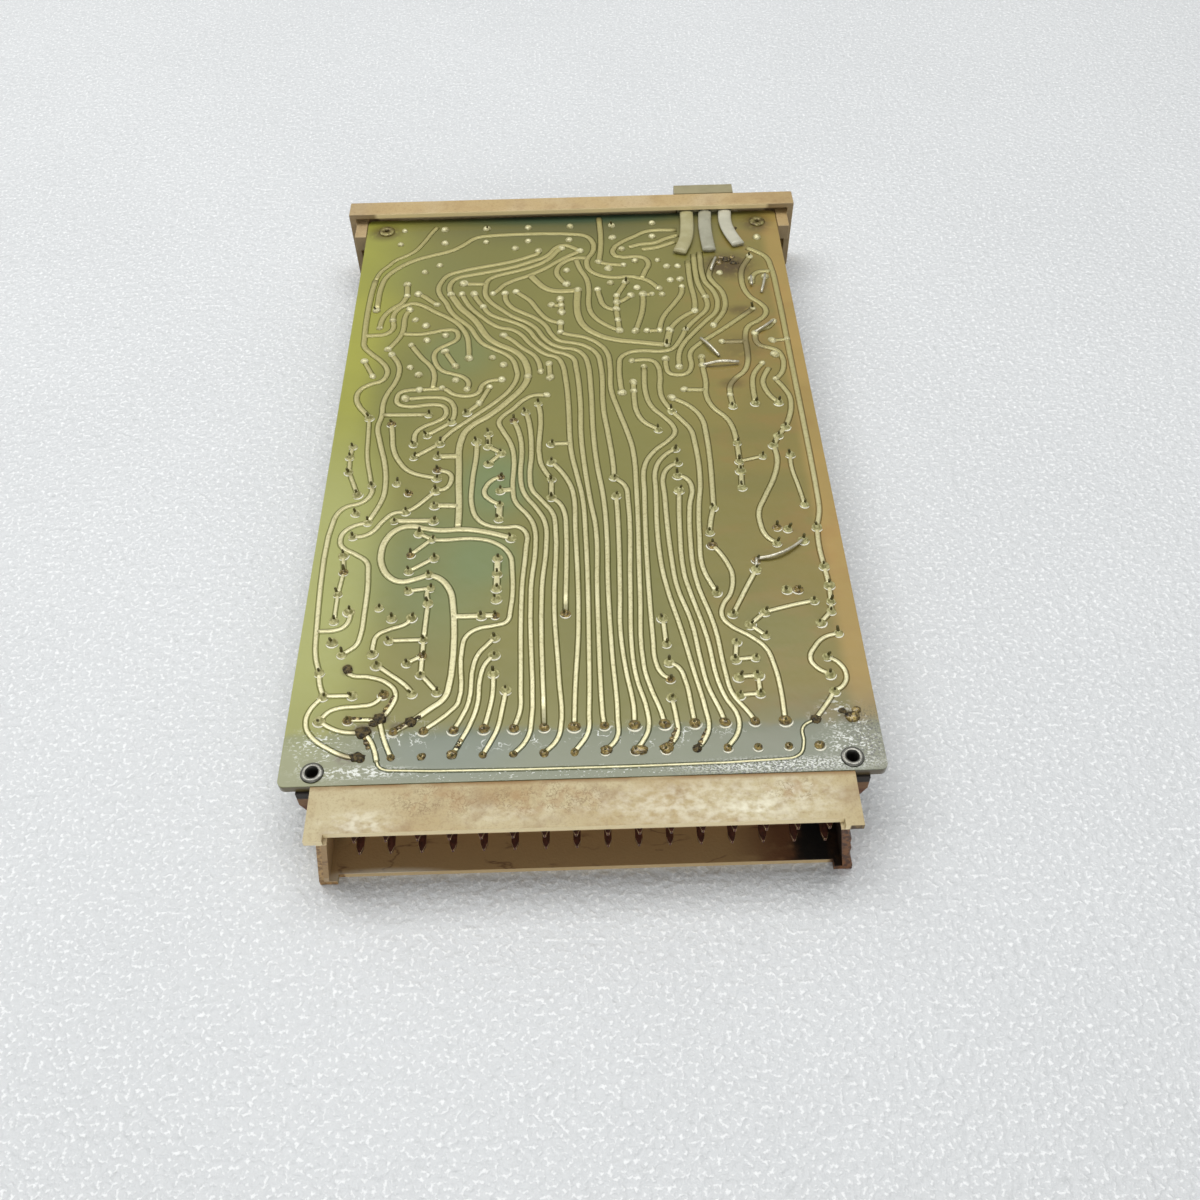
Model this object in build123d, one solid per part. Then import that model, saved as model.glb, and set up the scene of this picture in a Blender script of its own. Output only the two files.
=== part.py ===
from build123d import *
import math
import os

# Control board on a 100 x 160 mm card, lying solder side up. Millimetres.
# Working frame: X across the card from its middle, Y from the connector edge towards the
# front panel, Z up from the solder face. The parts are moved to the stand frame at the end.

# Card and its layout grid
grid = 2.54
layout_columns = 37
layout_rows = 60
side_margin = 3.01
first_row_inset = 5.0
far_margin = 2.6
board_thickness = 1.6
board_corner = 1.2

# Small round pieces are many, so each has few flat sides
round_sides = 12

# Printed circuit and solder
track_height = 0.12
track_width = 0.72
wide_track_width = 1.1
link_track_width = 0.5
joint_radius = 0.92
joint_height = 0.85
joint_sides = 6
solder_clearance = 0.04

# Connector housing
shroud_top_drop = 0.2
shroud_height = 15.0
shroud_depth = 10.0
shroud_end_inset = 5.5
rim_set_back = 1.3
ear_width = 3.0
shroud_wall = 1.2
end_wall = 1.7
end_wall_lean = 1.9
cavity_depth = 8.0
carrier_overlap = 3.5
carrier_rivet_gap = 0.3
lug_reach = 2.7
lug_front = 0.5
lug_depth = 6.0
lug_thickness = 3.4
lug_rib_height = 5.5
lug_rib_taper = 2.6
lug_rib_depth = 0.9
break_depth = 2.6
# splinters gone from the right-hand end wall: (share of the way down it, how deep)
end_wall_break = [
    (0.0, 0.35), (0.12, 0.55), (0.24, 0.1), (0.38, 0.3), (0.5, 0.12), (0.66, 0.5), (0.8, 0.25), (1.0, 0.45),
]

# Connector contacts
contacts_per_row = 16
first_contact_column = 4
contact_step = 2
upper_contact_drop = 2.5
contact_row_pitch = 5.08
upper_contact_reach = 9.1
lower_contact_reach = 8.5
blade_width = 1.2
blade_thickness = 0.7
blade_taper = 1.1
blade_tip_width = 0.4
tail_width = 0.64
contact_clearance = 0.05

# Rivets
rivet_shank_radius = 1.4
rivet_bore_radius = 0.95
rivet_flange_radius = 1.95
rivet_flange_height = 0.4
rivet_clearance = 0.05
connector_rivet_column = 1
connector_rivet_row = -1
panel_rivet_column = 0.7
panel_rivet_row = 59.2

# Front panel
panel_side_overhang = 4.5
panel_rise = 2.6
panel_lap = 1.0
panel_depth = 5.4
panel_rim = 1.3
panel_front_wall = 2.0
panel_end_wall = 1.5
panel_edge_radius = 0.5
panel_lug_length = 5.5
panel_lug_inner_reach = 7.0
panel_lug_floor = 2.2
panel_lug_edge_gap = 0.2

# Test socket block and its leads
block_column = 31.4
block_side_wall = 2.35
block_height = 7.8
block_shoulder = 0.6
block_stand_out = 3.6
block_board_gap = 0.3
block_clearance = 0.1
socket_pitch = 4.9
socket_radius = 1.75
socket_collar = 1.5
socket_barrel_radius = 1.4
socket_bore_radius = 1.05
socket_bore_depth = 5.0
socket_length = 6.0
socket_drop = 3.8
socket_proud = 0.3
block_width = 2 * (socket_pitch + block_side_wall)
sleeve_thickness = 1.1
sleeve_clearance = 0.05

# Parts on the component side
component_clearance = 0.3
axial_steps = 5
electrolytic_steps = 8
resistor_length = 6.6
resistor_radius = 1.15
diode_length = 4.2
diode_radius = 0.9
electrolytic_length = 14.0
electrolytic_radius = 3.4
lead_width = 0.6
capacitor_length = 7.2
capacitor_thickness = 2.6
capacitor_height = 7.5
capacitor_row = 58.1
transistor_radius = 2.3
transistor_height = 4.8
transistor_flat = 1.4
transistor_stand_off = 2.0
transistor_pin_pitch = 1.27
transistor_pin_width = 0.45

# How far a cut runs on past what it cuts
cut_overrun = 1.0

# Sizes that follow
board_width = layout_columns * grid + 2 * side_margin
board_length = first_row_inset + layout_rows * grid + far_margin
half_board = board_width / 2
under_board = -board_thickness
floor_level = -shroud_top_drop - shroud_height
shroud_half = half_board - shroud_end_inset
cavity_back = cavity_depth - shroud_depth
panel_back = board_length - panel_lap
panel_front = panel_back + panel_depth
panel_half = half_board + panel_side_overhang
panel_wall_back = panel_front - panel_front_wall
block_back = board_length + block_board_gap
block_front = panel_front + block_stand_out
block_bottom = panel_rise - block_height


def column_x(column):
    return (column - layout_columns / 2) * grid


def row_y(row):
    return first_row_inset + row * grid


def grid_point(point):
    return Vector(column_x(point[0]), row_y(point[1]))


contact_columns = [first_contact_column + contact_step * n for n in range(contacts_per_row)]

# Solder joints of the parts, in grid steps (column, row). The connector's joints are added below.
part_joints = [
    # near the connector, left
    (1, 11.5), (2, 12.3), (4.1, 12.6), (5.1, 11.6), (6.5, 11.6), (7.6, 12.9), (11.5, 11.6),
    (12.5, 11.6), (12.5, 13.1), (1.1, 9.6), (5.1, 9.6), (7.5, 9.6), (1.9, 8.5), (4, 8.5),
    (7.5, 8.2), (2.4, 7.3), (4.4, 7.5), (6.5, 7.6), (7.5, 6.6), (0.5, 7), (1, 5), (3, 5),
    (5.1, 5), (7, 5), (8.7, 5.1), (1, 3), (2.9, 3), (5, 2.9), (7.1, 2.7), (12.5, 9.6),
    (12.5, 8.1), (12.5, 6.5), (13.4, 5.1), (17.5, 11.6),
    # near the connector, right
    (24.4, 10.9), (24.5, 8.6), (24.6, 7), (24.6, 5.6), (24.6, 4.1), (28.4, 13.1), (29.4, 11.1),
    (29.4, 8.6), (29.2, 7.1), (30.6, 7.2), (29.3, 5.6), (30.6, 5.7), (29.2, 4.1), (30.6, 4.2),
    (33.5, 13.2), (34.3, 13.2), (35.3, 12.1), (31.7, 11.2), (30.5, 10.1), (31.5, 9.1),
    (36.6, 13.5), (36.5, 12), (36.4, 11.1), (35.5, 10.1), (36.6, 9.1), (35.5, 7.1), (35.5, 5.6),
    (35.6, 4.2), (36.3, 2.2),
    # lower middle, left
    (1, 14), (1.2, 16.1), (1, 17.7), (1.5, 19.6), (2.5, 21), (1.5, 22), (1.4, 24), (2.4, 25),
    (0.5, 26.5), (0.4, 28.2), (0.5, 29.4), (4.4, 25.1), (5.4, 24), (7.5, 25.6), (7.5, 26.5),
    (7.5, 24.2), (7.5, 22.6), (7.5, 21), (5.3, 22), (4.5, 21.1), (5.5, 28), (7.5, 29.5),
    (5.4, 29.5), (7.4, 28), (11.4, 29), (12.5, 28.2), (11.5, 27), (10.5, 29.6), (12.5, 25.5),
    (12.5, 24), (12.5, 22.5), (12.5, 21), (6.5, 19.7), (7.5, 19.1), (6, 17.6), (6, 16),
    (7.8, 17.2), (7.5, 15.6), (6.1, 14.1), (7.7, 14.3), (13.5, 19), (12.5, 17), (12.5, 15.5),
    (12.5, 14.1), (16.5, 29.1), (16.5, 27), (16.5, 25.1), (16.5, 23.1),
    # lower middle, right
    (21.4, 25.1), (21.5, 23.1), (26.4, 28.1), (26.5, 26.5), (26.4, 25.1), (26.4, 23.5),
    (28.9, 21.5), (28.4, 19), (28.5, 17.7), (31.4, 28.6), (31.4, 26.5), (31.4, 25.4),
    (31.3, 23.6), (33.3, 27), (34.8, 29.3), (34.3, 28.2), (35.5, 27.1), (35.9, 21.6),
    (36.5, 19.2), (33.5, 19.3), (34.3, 19.1), (33.3, 17.7), (35.3, 17.9), (31.6, 16.1),
    (31.5, 15.2), (36.5, 15.3),
    # upper middle, left
    (2.4, 45.5), (4.4, 45.5), (1.3, 44.5), (5.4, 44.6), (7.2, 43.2), (5.6, 42.6), (2.3, 41.5),
    (2.7, 40.8), (7.3, 41), (8.3, 39), (9.4, 40), (4.3, 42), (4.4, 39), (5.2, 38), (1.3, 38),
    (0.4, 40), (11.4, 40), (12.4, 39), (12.3, 43), (12.3, 37.1), (16.3, 39), (15.6, 38),
    (16.4, 37.2), (14.5, 37.4), (8.4, 37.2), (9.4, 36), (7.3, 36.2), (5.4, 36.1), (4.3, 35),
    (11.3, 36.2), (10.5, 34.2), (9.5, 33.1), (8.3, 32), (6.4, 33), (6.4, 30.5), (1.5, 32.8),
    (3.4, 32), (13.4, 32), (14.4, 33), (15.4, 34), (16.1, 35), (11.4, 30.5), (17.3, 44.5),
    (17.3, 43.2),
    # upper middle, right
    (22.5, 43.2), (22.4, 44.7), (22.3, 46.2), (23.9, 43.1), (24.9, 43.1), (26, 43.1),
    (26.9, 43.1), (28.3, 43.1), (26.5, 41.1), (30.8, 43.6), (23.4, 39.1), (24.4, 38.3),
    (26.3, 39.2), (27.4, 38.1), (22.4, 35), (23.4, 36.3), (23.4, 35.2), (26.5, 34.2),
    (26.4, 32.6), (27.6, 35.2), (29.4, 39.3), (29.4, 38.2), (25.2, 30.4), (31.3, 41.3),
    (31.4, 34.4), (31.5, 33), (34.3, 42.3), (36.1, 43.9), (35.7, 41.3), (37, 41.4),
    (35.7, 39.4), (34.5, 38.3), (35.4, 36.2), (33.4, 33.3), (35.3, 33.3), (35.5, 30.3),
    # near the front panel, left
    (2.4, 59.2), (2.2, 57), (6.3, 59.2), (6.4, 57), (10.3, 59.2), (10.3, 57), (14.3, 59.2),
    (14.3, 57), (0.8, 47), (3.8, 47), (3.4, 49), (3.3, 50.7), (4.4, 49.2), (6.2, 47.6),
    (4.8, 52.5), (6.1, 53.5), (13.1, 55.9), (15.3, 55.4), (17.5, 55.7), (19.2, 55.2),
    (7.4, 49), (8.4, 49), (9.5, 49), (8.5, 50.6), (10.4, 47.1), (11.2, 49), (12.3, 49),
    (13.3, 49.2), (17.9, 52.2), (17.9, 50.1), (18.9, 49.2), (16.5, 47.1), (17.3, 47.9),
    (17.4, 47), (17.4, 46),
    # near the front panel, right
    (18.3, 59.2), (18.2, 57), (22.3, 59.2), (22.3, 57.2), (26.2, 59.4), (26.1, 57.2),
    (20.9, 53.4), (21.8, 52.3), (23.2, 52.8), (24.3, 53.4), (23.1, 55.3), (21.9, 50.1),
    (20.7, 49.2), (22.4, 47.2), (22.4, 48.2), (23.3, 50.2), (23.7, 48.2), (24.3, 49.3),
    (24.8, 48.3), (25.6, 48.3), (26.5, 48.2), (26.3, 49.1), (26.4, 53.4), (27.2, 52.4),
    (28.2, 52.4), (27.4, 50.3), (28.3, 50.4), (28.4, 49.3), (30.4, 47.7), (29.3, 45.7),
    (34.5, 45.8), (32, 51.2), (35, 53.6), (34.8, 50.2), (36.1, 50.4), (36, 56.6),
]

# Tracks as routes in grid steps. A route is cut where it passes through a joint.
signal_tracks = [
    # left side, front to back
    [(5.5, 59.8), (4.9, 58.4), (3.8, 56), (1.9, 54.5), (0.8, 53.1), (0.2, 51.3), (0.1, 43.1),
     (0.5, 41.6), (2.5, 38.8), (2.3, 37.6), (0.7, 36.7), (0.2, 35.3), (0.6, 34.1), (1.5, 32.8),
     (1.8, 28.5), (2.4, 25), (2.5, 24.1), (1.8, 23.2), (0.5, 22.6), (-0.1, 21.4), (-0.1, 10),
     (0.5, 7), (1, 5), (0.2, 3.8), (0.2, 2.4), (0.9, 1.5), (2.6, 0.4), (4, 0)],
    [(0.8, 47), (0.9, 51.4), (1.9, 53), (4, 54.6), (7.4, 56), (9.2, 57.8), (10.7, 58.05),
     (19, 57.9), (20.1, 57.2), (20.5, 56), (19.8, 53.8), (19.9, 52.4), (21.2, 51.2), (24, 51),
     (26.3, 49.1)],
    [(1.3, 44.5), (1.5, 46), (2.3, 47.5), (3.4, 49)],
    [(2.4, 45.5), (2.6, 46.8), (3.5, 47.8), (4.5, 47.8), (8.1, 45), (9, 43.4), (9.4, 40)],
    [(2.4, 45.5), (2.5, 44.4), (1.9, 43.6), (0.4, 43.5)],
    [(3.8, 47), (3.4, 46), (3.4, 43.8), (2.3, 41.5)],
    [(3.7, 43.5), (5, 43.5), (7.3, 44), (8.2, 43.6), (8.2, 42.6), (6.5, 41.1), (6.6, 39.4),
     (7.4, 38.4), (8.8, 37.8), (9.4, 36)],
    [(2.7, 40.8), (3.5, 38.9), (3.3, 37), (2.5, 35), (2.5, 33), (2.3, 31.4), (3.4, 26.5),
     (3.4, 23.7), (2.5, 21), (1.3, 20.7), (0.6, 19.7), (0.9, 18.5), (2.4, 17.4), (3, 16),
     (3.1, 12), (2.9, 9.5), (1.9, 8.5)],
    [(2.8, 33.1), (6.4, 33)],
    [(4.3, 42), (6.4, 38.5), (6.5, 36.5)],
    [(12.3, 37.1), (11.2, 37), (10.2, 35.4), (9.2, 35.1), (7.3, 36.2), (5.4, 36.1), (4.1, 36),
     (3.6, 35.2), (3.8, 34.3), (6.9, 34.2), (7.8, 33.5), (7.5, 32.5), (6, 31.5), (5.4, 29.5)],
    [(4.3, 35), (6.8, 35.1), (8, 34.7), (8.5, 33.6), (8.3, 32), (6.4, 30.5)],
    [(7.3, 41), (8.3, 39)],
    [(3.4, 32), (3.8, 29), (4.5, 27.3), (5.8, 26.1), (7.5, 25.6)],
    [(7.5, 26.5), (8.3, 26.3), (8.7, 25.4), (8.3, 24.5), (7.5, 24.2), (5.3, 22), (4.2, 21.8),
     (3, 20.1), (1.5, 19.6)],
    [(4.5, 21.1), (7.5, 21)],
    [(7.5, 29.5), (5.5, 28)],
    [(12.5, 25.5), (11.5, 24.8), (11.3, 23.8), (12.5, 22.5), (12.5, 21)],
    [(6.5, 19.7), (7.5, 19.1), (6, 17.6)],
    [(6, 16), (7.8, 17.2)],
    [(7.5, 19.1), (11, 19), (12.8, 18.2), (13.5, 16.8), (13.6, 12), (13.2, 11), (11.3, 10.5),
     (10.4, 9.5), (10.2, 4.4), (8, 2)],
    [(6.1, 14.1), (7.2, 14.1)],
    [(7.7, 14.3), (7.6, 12.9), (7.5, 9.6), (7.5, 8.2), (7.5, 6.6), (8.7, 5.1)],
    [(5.1, 9.6), (7.5, 9.6)],
    [(6.5, 7.6), (7.5, 8.2)],
    [(2, 12.3), (1.9, 11.3), (0.2, 10.6)],
    [(6.5, 11.6), (5.9, 10.9), (4.3, 10.2), (4, 8.5)],
    [(4.4, 7.5), (7, 5)],
    [(2.4, 7.3), (2.9, 6.7), (4.8, 6.3), (5.9, 4.9), (5, 2.9)],
    [(1, 5), (3, 5)],
    [(5.1, 5), (4.4, 4.2), (2.4, 4), (1, 3), (2.2, 2.3), (4, 2)],
    [(2.9, 3), (5, 2.9), (6, 0)],
    [(4, 2), (5, -0.2), (5.7, -0.95), (31.8, -0.95), (32.8, -0.4), (33.2, 1.5), (34, 2)],
    # fan into the connector
    [(12.5, 9.6), (11.4, 8.2), (10.9, 4.2), (10, 2)],
    [(12.5, 8.1), (11.7, 7), (11.5, 4), (10, 0)],
    [(12.5, 6.5), (12.5, 5), (12, 2)],
    [(13.4, 5.1), (12.9, 2), (12, 0)],
    [(10.5, 29.6), (10.3, 25), (10.4, 22.4), (11.1, 20.8), (12.4, 20.2), (14, 20.1),
     (14.6, 19.2), (14.4, 12), (14.4, 3.6), (14, 2)],
    [(16.1, 35), (15, 35), (12.5, 32.5), (12.3, 31.5), (13.5, 28), (13.5, 23.8), (15.1, 20.6),
     (15.3, 18.5), (15, 12), (15.1, 2), (14, 0)],
    [(13.4, 32), (14, 28.5), (14.1, 24.8), (16, 20.6), (15.8, 12), (16, 2)],
    [(14.4, 33), (14.8, 30), (14.9, 24.5), (16.6, 21.3), (16.8, 18), (16.7, 12), (17.1, 1.8),
     (16, 0)],
    [(15.4, 34), (15.6, 31.5), (15.6, 27.4), (16.5, 25.1), (16.5, 23.1), (17.4, 22),
     (17.5, 11.6)],
    [(16.5, 27), (18.1, 24), (18.4, 11), (18, 2)],
    [(8.4, 49), (9.3, 47), (11.6, 44.3), (13.2, 43.6), (15.2, 41.1), (17, 39.9), (17.7, 38),
     (18, 28.6), (19, 22), (19.1, 3), (18, 0)],
    [(9.5, 49), (10.4, 47.1), (11.3, 45.8), (13.4, 44.6), (14.7, 43.3), (15.4, 41.9),
     (18.2, 39.9), (18.8, 36), (18.9, 30), (19.8, 21), (20, 2)],
    [(17.5, 55.7), (16.2, 53.9), (13.6, 52.4), (11.2, 51.5), (10.5, 50), (10.6, 48.4),
     (13, 45.7), (15, 44.1), (16.4, 41.8), (19, 40.7), (19.7, 38.8), (19.9, 30), (20.6, 22.5),
     (20.9, 2.5), (20, 0)],
    [(12.3, 49), (12.5, 47.8), (13.2, 46.7), (15.2, 45.2), (16.8, 42.4), (19.5, 41.4),
     (20.7, 38.8), (20.8, 33), (21.4, 25.1), (22.3, 23.8), (22.2, 6.5), (22.9, 3.2),
     (22.8, 1.3), (22, 0)],
    [(21.5, 23.1), (21.4, 8.5), (22, 2)],
    [(13.3, 49.2), (14.2, 48.3), (16, 45.2), (17.3, 44.5), (17.3, 43.2), (20, 42.1),
     (21.4, 40), (21.6, 34.6), (23, 28.4), (23.1, 22), (22.8, 7.2), (24, 2)],
    [(12.3, 43), (14.9, 40.4), (15.6, 38)],
    [(24.4, 38.3), (24.4, 34.7), (24.9, 33), (26.4, 30.9), (26.1, 29.3), (24, 26.9),
     (23.6, 22), (23.7, 7.2), (24.6, 5.6)],
    [(26.4, 28.1), (25, 26.7), (24.6, 24), (24.6, 16), (26.9, 2.8), (26.8, 1.2), (26, 0)],
    [(26.5, 26.5), (25.5, 25.8), (25.3, 23), (25.5, 14), (27, 5.6), (28, 2)],
    [(26.4, 23.5), (26.2, 15), (27.8, 6), (28.9, 2.6), (28.8, 1), (28, 0)],
    [(26.4, 25.1), (27.4, 24.3), (27, 14.6), (28.5, 5.2), (30, 2)],
    [(23.4, 39.1), (24.7, 39.1), (25.6, 38.2), (25.6, 34.8), (26.4, 32.6), (27.9, 30),
     (28.1, 24), (27.6, 16), (28.4, 13.1)],
    [(26.5, 34.2), (28.2, 32.8), (29, 30.4), (28.9, 21.5), (28.4, 19)],
    [(28.5, 17.7), (29.6, 15.9), (29.6, 13.9), (28.7, 11.6), (29, 10.3), (31.2, 8.2),
     (31.9, 6.2), (32, 2)],
    [(31.5, 15.2), (29.4, 11.1)],
    [(24.6, 7), (25.6, 5.6), (26, 2)],
    [(24.6, 4.1), (24.9, 1.4), (24, 0)],
    # bunch below the front panel
    [(15.3, 55.4), (14.4, 54.5), (8.2, 52.6), (6.8, 51.9), (6.2, 50.4), (6.7, 48.5),
     (7.6, 46.5), (9.3, 44.2), (10.6, 41.9), (12.8, 40.2), (13.6, 38.4), (13.4, 36.4),
     (12, 34.5), (7.5, 29.5)],
    [(19.2, 55.2), (17.5, 56.2), (15.7, 54.3), (8.8, 51.9), (7.4, 51), (7.4, 49), (9.6, 45.4),
     (11.5, 42.1), (13.7, 40.5), (14.5, 37.4)],
    [(19.2, 55.2), (15.2, 52), (12.9, 50.8), (11.2, 49)],
    [(8.5, 50.6), (10.2, 50.5)],
    [(14.9, 51.4), (15.5, 50.1), (16.8, 49.2), (18.9, 49.2), (18.8, 46), (19.3, 44.3),
     (20.5, 42.8), (22.2, 42), (26.5, 41.1), (26.9, 43.1), (29.3, 45.7), (29.2, 49.5),
     (29.2, 53)],
    [(17.9, 50.1), (17, 51.7), (17.4, 53.3), (18.9, 54.1), (19.4, 54.1)],
    [(19, 53.6), (19.8, 50.2), (19.9, 46.5), (20.6, 44.8), (22.5, 43.2)],
    [(21.1, 60.3), (21.2, 57), (20.9, 53.4), (23.2, 52.8)],
    [(20.7, 49.2), (21, 47.4), (22.3, 46.2), (22.4, 44.7), (22.5, 43.2)],
    [(22.3, 46.2), (22.4, 47.2), (22.4, 48.2), (23.3, 50.2)],
    [(22.4, 47.2), (23.7, 48.2)],
    [(24.8, 48.3), (24.6, 45.6), (23.9, 43.1)],
    [(24.9, 43.1), (26, 43.1), (26.7, 45.4), (28.2, 48.1), (28.4, 49.3)],
    [(28.4, 58.2), (25.8, 58.2), (23.2, 56.4), (22.3, 55.4), (22.5, 54.2), (24.8, 54.1),
     (25.5, 53.1), (25.3, 52), (24.8, 51.3)],
    [(23.8, 55.6), (26.4, 56.3), (28.3, 57.2)],
    [(25.2, 55.2), (26.4, 55.4), (27.6, 56)],
    [(23.4, 35.2), (23.4, 33), (25.2, 30.4)],
    [(22.4, 35), (22.3, 38.6), (22.9, 40), (24, 40.4), (26.4, 40.3), (28.3, 43.1),
     (30.4, 46.1), (30.4, 47.7), (29.8, 50.5), (29.8, 52.6)],
    # right side
    [(26.3, 39.2), (26.3, 38), (27.2, 37.1), (28.2, 37.6), (28.4, 39.8), (29.3, 41.1),
     (34.5, 45.8)],
    [(27.4, 38.1), (27.5, 39.9), (31.1, 45.3), (31.3, 47.6), (30.5, 50), (30.4, 53.4)],
    [(30.8, 43.6), (32.1, 46.9), (31.1, 50.2), (31.2, 51.6), (31.8, 53.3)],
    [(35, 53.6), (33.9, 50.2), (34.1, 48.2), (35.5, 46.3), (35.4, 44.8), (33.6, 43),
     (33.3, 38.6), (31.6, 35.7), (31.4, 34.4), (31.5, 33)],
    [(29.4, 39.3), (29.4, 38.2), (29.6, 33.7), (31.3, 30.5), (31.4, 28.6)],
    [(34.3, 42.3), (34.4, 41.1), (35.9, 40.1), (36.3, 38.6), (35.4, 36.2), (36.4, 33.5),
     (35.5, 30.3), (34.3, 28.2), (34.4, 26.6), (32.4, 21.3), (32.4, 19), (33.3, 17.7)],
    [(34.5, 38.3), (33.5, 36.5), (33.4, 33.3)],
    [(34.9, 37.6), (34.3, 36.2), (34.4, 34.8), (35.3, 33.3)],
    [(34.9, 55.1), (36.3, 53.9), (36.9, 51.8), (37, 41.4), (37, 22), (36.5, 19.2),
     (36.5, 15.3), (36.6, 13.5)],
    [(36.5, 51.2), (35.6, 51.2), (34.8, 50.2)],
    [(35.5, 27.1), (35.9, 21.6)],
    [(35.3, 12.1), (31.7, 11.2), (30.5, 10.1), (31.5, 9.1)],
    [(29.4, 8.6), (29.2, 7.1), (30.6, 7.2)],
    [(29.3, 5.6), (30.6, 5.7), (30.6, 4.2), (29.2, 4.1)],
    [(36.6, 9.1), (35.2, 8.3), (34.4, 6.9), (35.5, 5.6)],
    [(35.5, 7.1), (36.6, 5.8), (35.6, 4.2), (34, 2)],
]

wide_tracks = [
    [(14.5, 37.4), (13.5, 35.3), (9.8, 31.2), (9.2, 29.4), (9.2, 25.5), (9.4, 22), (9.4, 20.3)],
    [(13.5, 19), (9.8, 20), (7.2, 20.1), (6, 20.5), (4.8, 20.2), (3.9, 18.9), (3.7, 17.2),
     (4.3, 15.7), (5.5, 15), (7.5, 15.6), (8.6, 14.9), (9.4, 13.2), (9.45, 5.4), (8.9, 4.3),
     (7.1, 2.7), (6, 2)],
    [(16.5, 29.1), (17.7, 29.1)],
    [(7.4, 28), (8.9, 28)],
    [(7.5, 22.6), (9.1, 22.5)],
    [(12.5, 24), (13.2, 24.1)],
    [(9.75, 11.6), (11.5, 11.6), (12.5, 11.6)],
    [(27.6, 35.2), (29.2, 35.1)],
    [(31.3, 41.3), (33.1, 41.3)],
]

link_tracks = [
    [(1, 17.7), (1.2, 16.1), (1, 14), (1, 11.5)],
    [(12.5, 17), (12.5, 15.5), (12.5, 14.1)],
    [(0.5, 29.4), (0.4, 28.2), (0.5, 26.5), (1.4, 24)],
    [(11.4, 30.5), (11.4, 29), (12.5, 28.2), (11.5, 27)],
    [(0.4, 40), (1.3, 38)],
    [(16.3, 39), (16.4, 37.2)],
    [(11.3, 36.2), (10.5, 34.2), (9.5, 33.1)],
    [(3.3, 50.7), (3.4, 49)],
    [(4.4, 49.2), (6.2, 47.6)],
    [(24.4, 10.9), (24.5, 8.6)],
    [(31.4, 28.6), (31.4, 26.5), (31.3, 23.6)],
    [(31.4, 26.5), (33.3, 27)],
    [(36.4, 11.1), (35.5, 10.1)],
    [(35.7, 41.3), (37, 41.4)],
]

# Long component leads bent over on the solder side, in grid steps
clinched_leads = [
    [(35.3, 17.9), (34.2, 16.9), (33, 16.3), (31.6, 16.1)],
    [(36.1, 43.9), (35.3, 43), (34.3, 42.3)],
    [(36.1, 50.4), (35.9, 49.4), (35.5, 48)],
    [(34.8, 50.2), (34.7, 49.2)],
    [(30.9, 38.3), (32.4, 38.3)],
]

# Outlines of the three flat sleeves, from the panel to their loose ends, in grid steps
sleeve_outlines = {
    "lead_sleeve_left": [(29, 61), (28.8, 56), (27.8, 55.2), (29.1, 53.3), (29.8, 56), (30.2, 61)],
    "lead_sleeve_middle": [(30.7, 61), (30.6, 58), (30.7, 55), (31.2, 54), (31.8, 55.5), (32.1, 61)],
    "lead_sleeve_right": [(32.7, 61), (32.7, 57), (33.3, 54.8), (34.7, 55.4), (34.2, 58.5), (33.9, 61)],
}

# Left-hand hole of each part that lies along the board's width
resistor_holes = [
    (7.5, 25.6), (7.5, 24.1), (7.5, 22.6), (7.5, 21), (7.5, 15.6), (7.5, 9.6), (26.4, 26.5),
    (26.4, 25), (26.4, 23.5), (24.4, 10.9), (24.4, 8.6), (28.5, 17.8),
]
diode_holes = [(16.5, 25.1), (30.6, 7.2), (30.6, 5.6)]
electrolytic_holes = [(25.2, 32.3), (3.4, 32)]
capacitor_columns = [2.3, 6.35, 10.3, 14.3, 18.25, 22.25, 26.15]
transistor_places = [
    (22, 52.6), (27.3, 51.4), (25.2, 46), (35, 37), (5.2, 43.6), (14.2, 52.4),
]


def box(x, y, z):
    """A block between the given pairs of ordinates."""
    size = (x[1] - x[0], y[1] - y[0], z[1] - z[0])
    middle = ((x[0] + x[1]) / 2, (y[0] + y[1]) / 2, (z[0] + z[1]) / 2)
    return Location(middle) * Box(*size)


def rod(radius, length):
    """A round piece or hole along Z, drawn with round_sides flat sides."""
    return extrude(RegularPolygon(radius, round_sides), length / 2, both=True)


def mirrored(shape):
    return shape + mirror(shape, Plane.YZ)


def board():
    plate = box((-half_board, half_board), (0, board_length), (under_board, 0))
    plate = fillet(plate.edges().filter_by(Axis.Z), board_corner)
    hole = rod(rivet_shank_radius + rivet_clearance, 4 * board_thickness)
    for place in connector_rivet_places() + panel_rivet_places():
        plate -= place * hole
    return plate


def rivet_places(column, row):
    return [Location((side * column_x(column), row_y(row), 0)) for side in (1, -1)]


def connector_rivet_places():
    return rivet_places(connector_rivet_column, connector_rivet_row)


def panel_rivet_places():
    return rivet_places(panel_rivet_column, panel_rivet_row)


def rivet(grip):
    """A rivet through the board and what is under it, flanged at both ends."""
    length = grip + 2 * rivet_flange_height
    middle = Location((0, 0, -grip / 2))
    body = middle * rod(rivet_shank_radius, length)
    for z in (rivet_flange_height / 2, -grip - rivet_flange_height / 2):
        body += Location((0, 0, z)) * rod(rivet_flange_radius, rivet_flange_height)
    return body


def hollow_rivet(grip):
    return rivet(grip) - Location((0, 0, -grip / 2)) * rod(rivet_bore_radius, 2 * grip)


def joint_points():
    rows = [(column, row) for row in (0, contact_step) for column in contact_columns]
    return rows + part_joints


def solder_joints():
    cone = pyramid(joint_radius, joint_sides, joint_height)
    return [Location(grid_point(point)) * cone for point in joint_points()]


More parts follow.
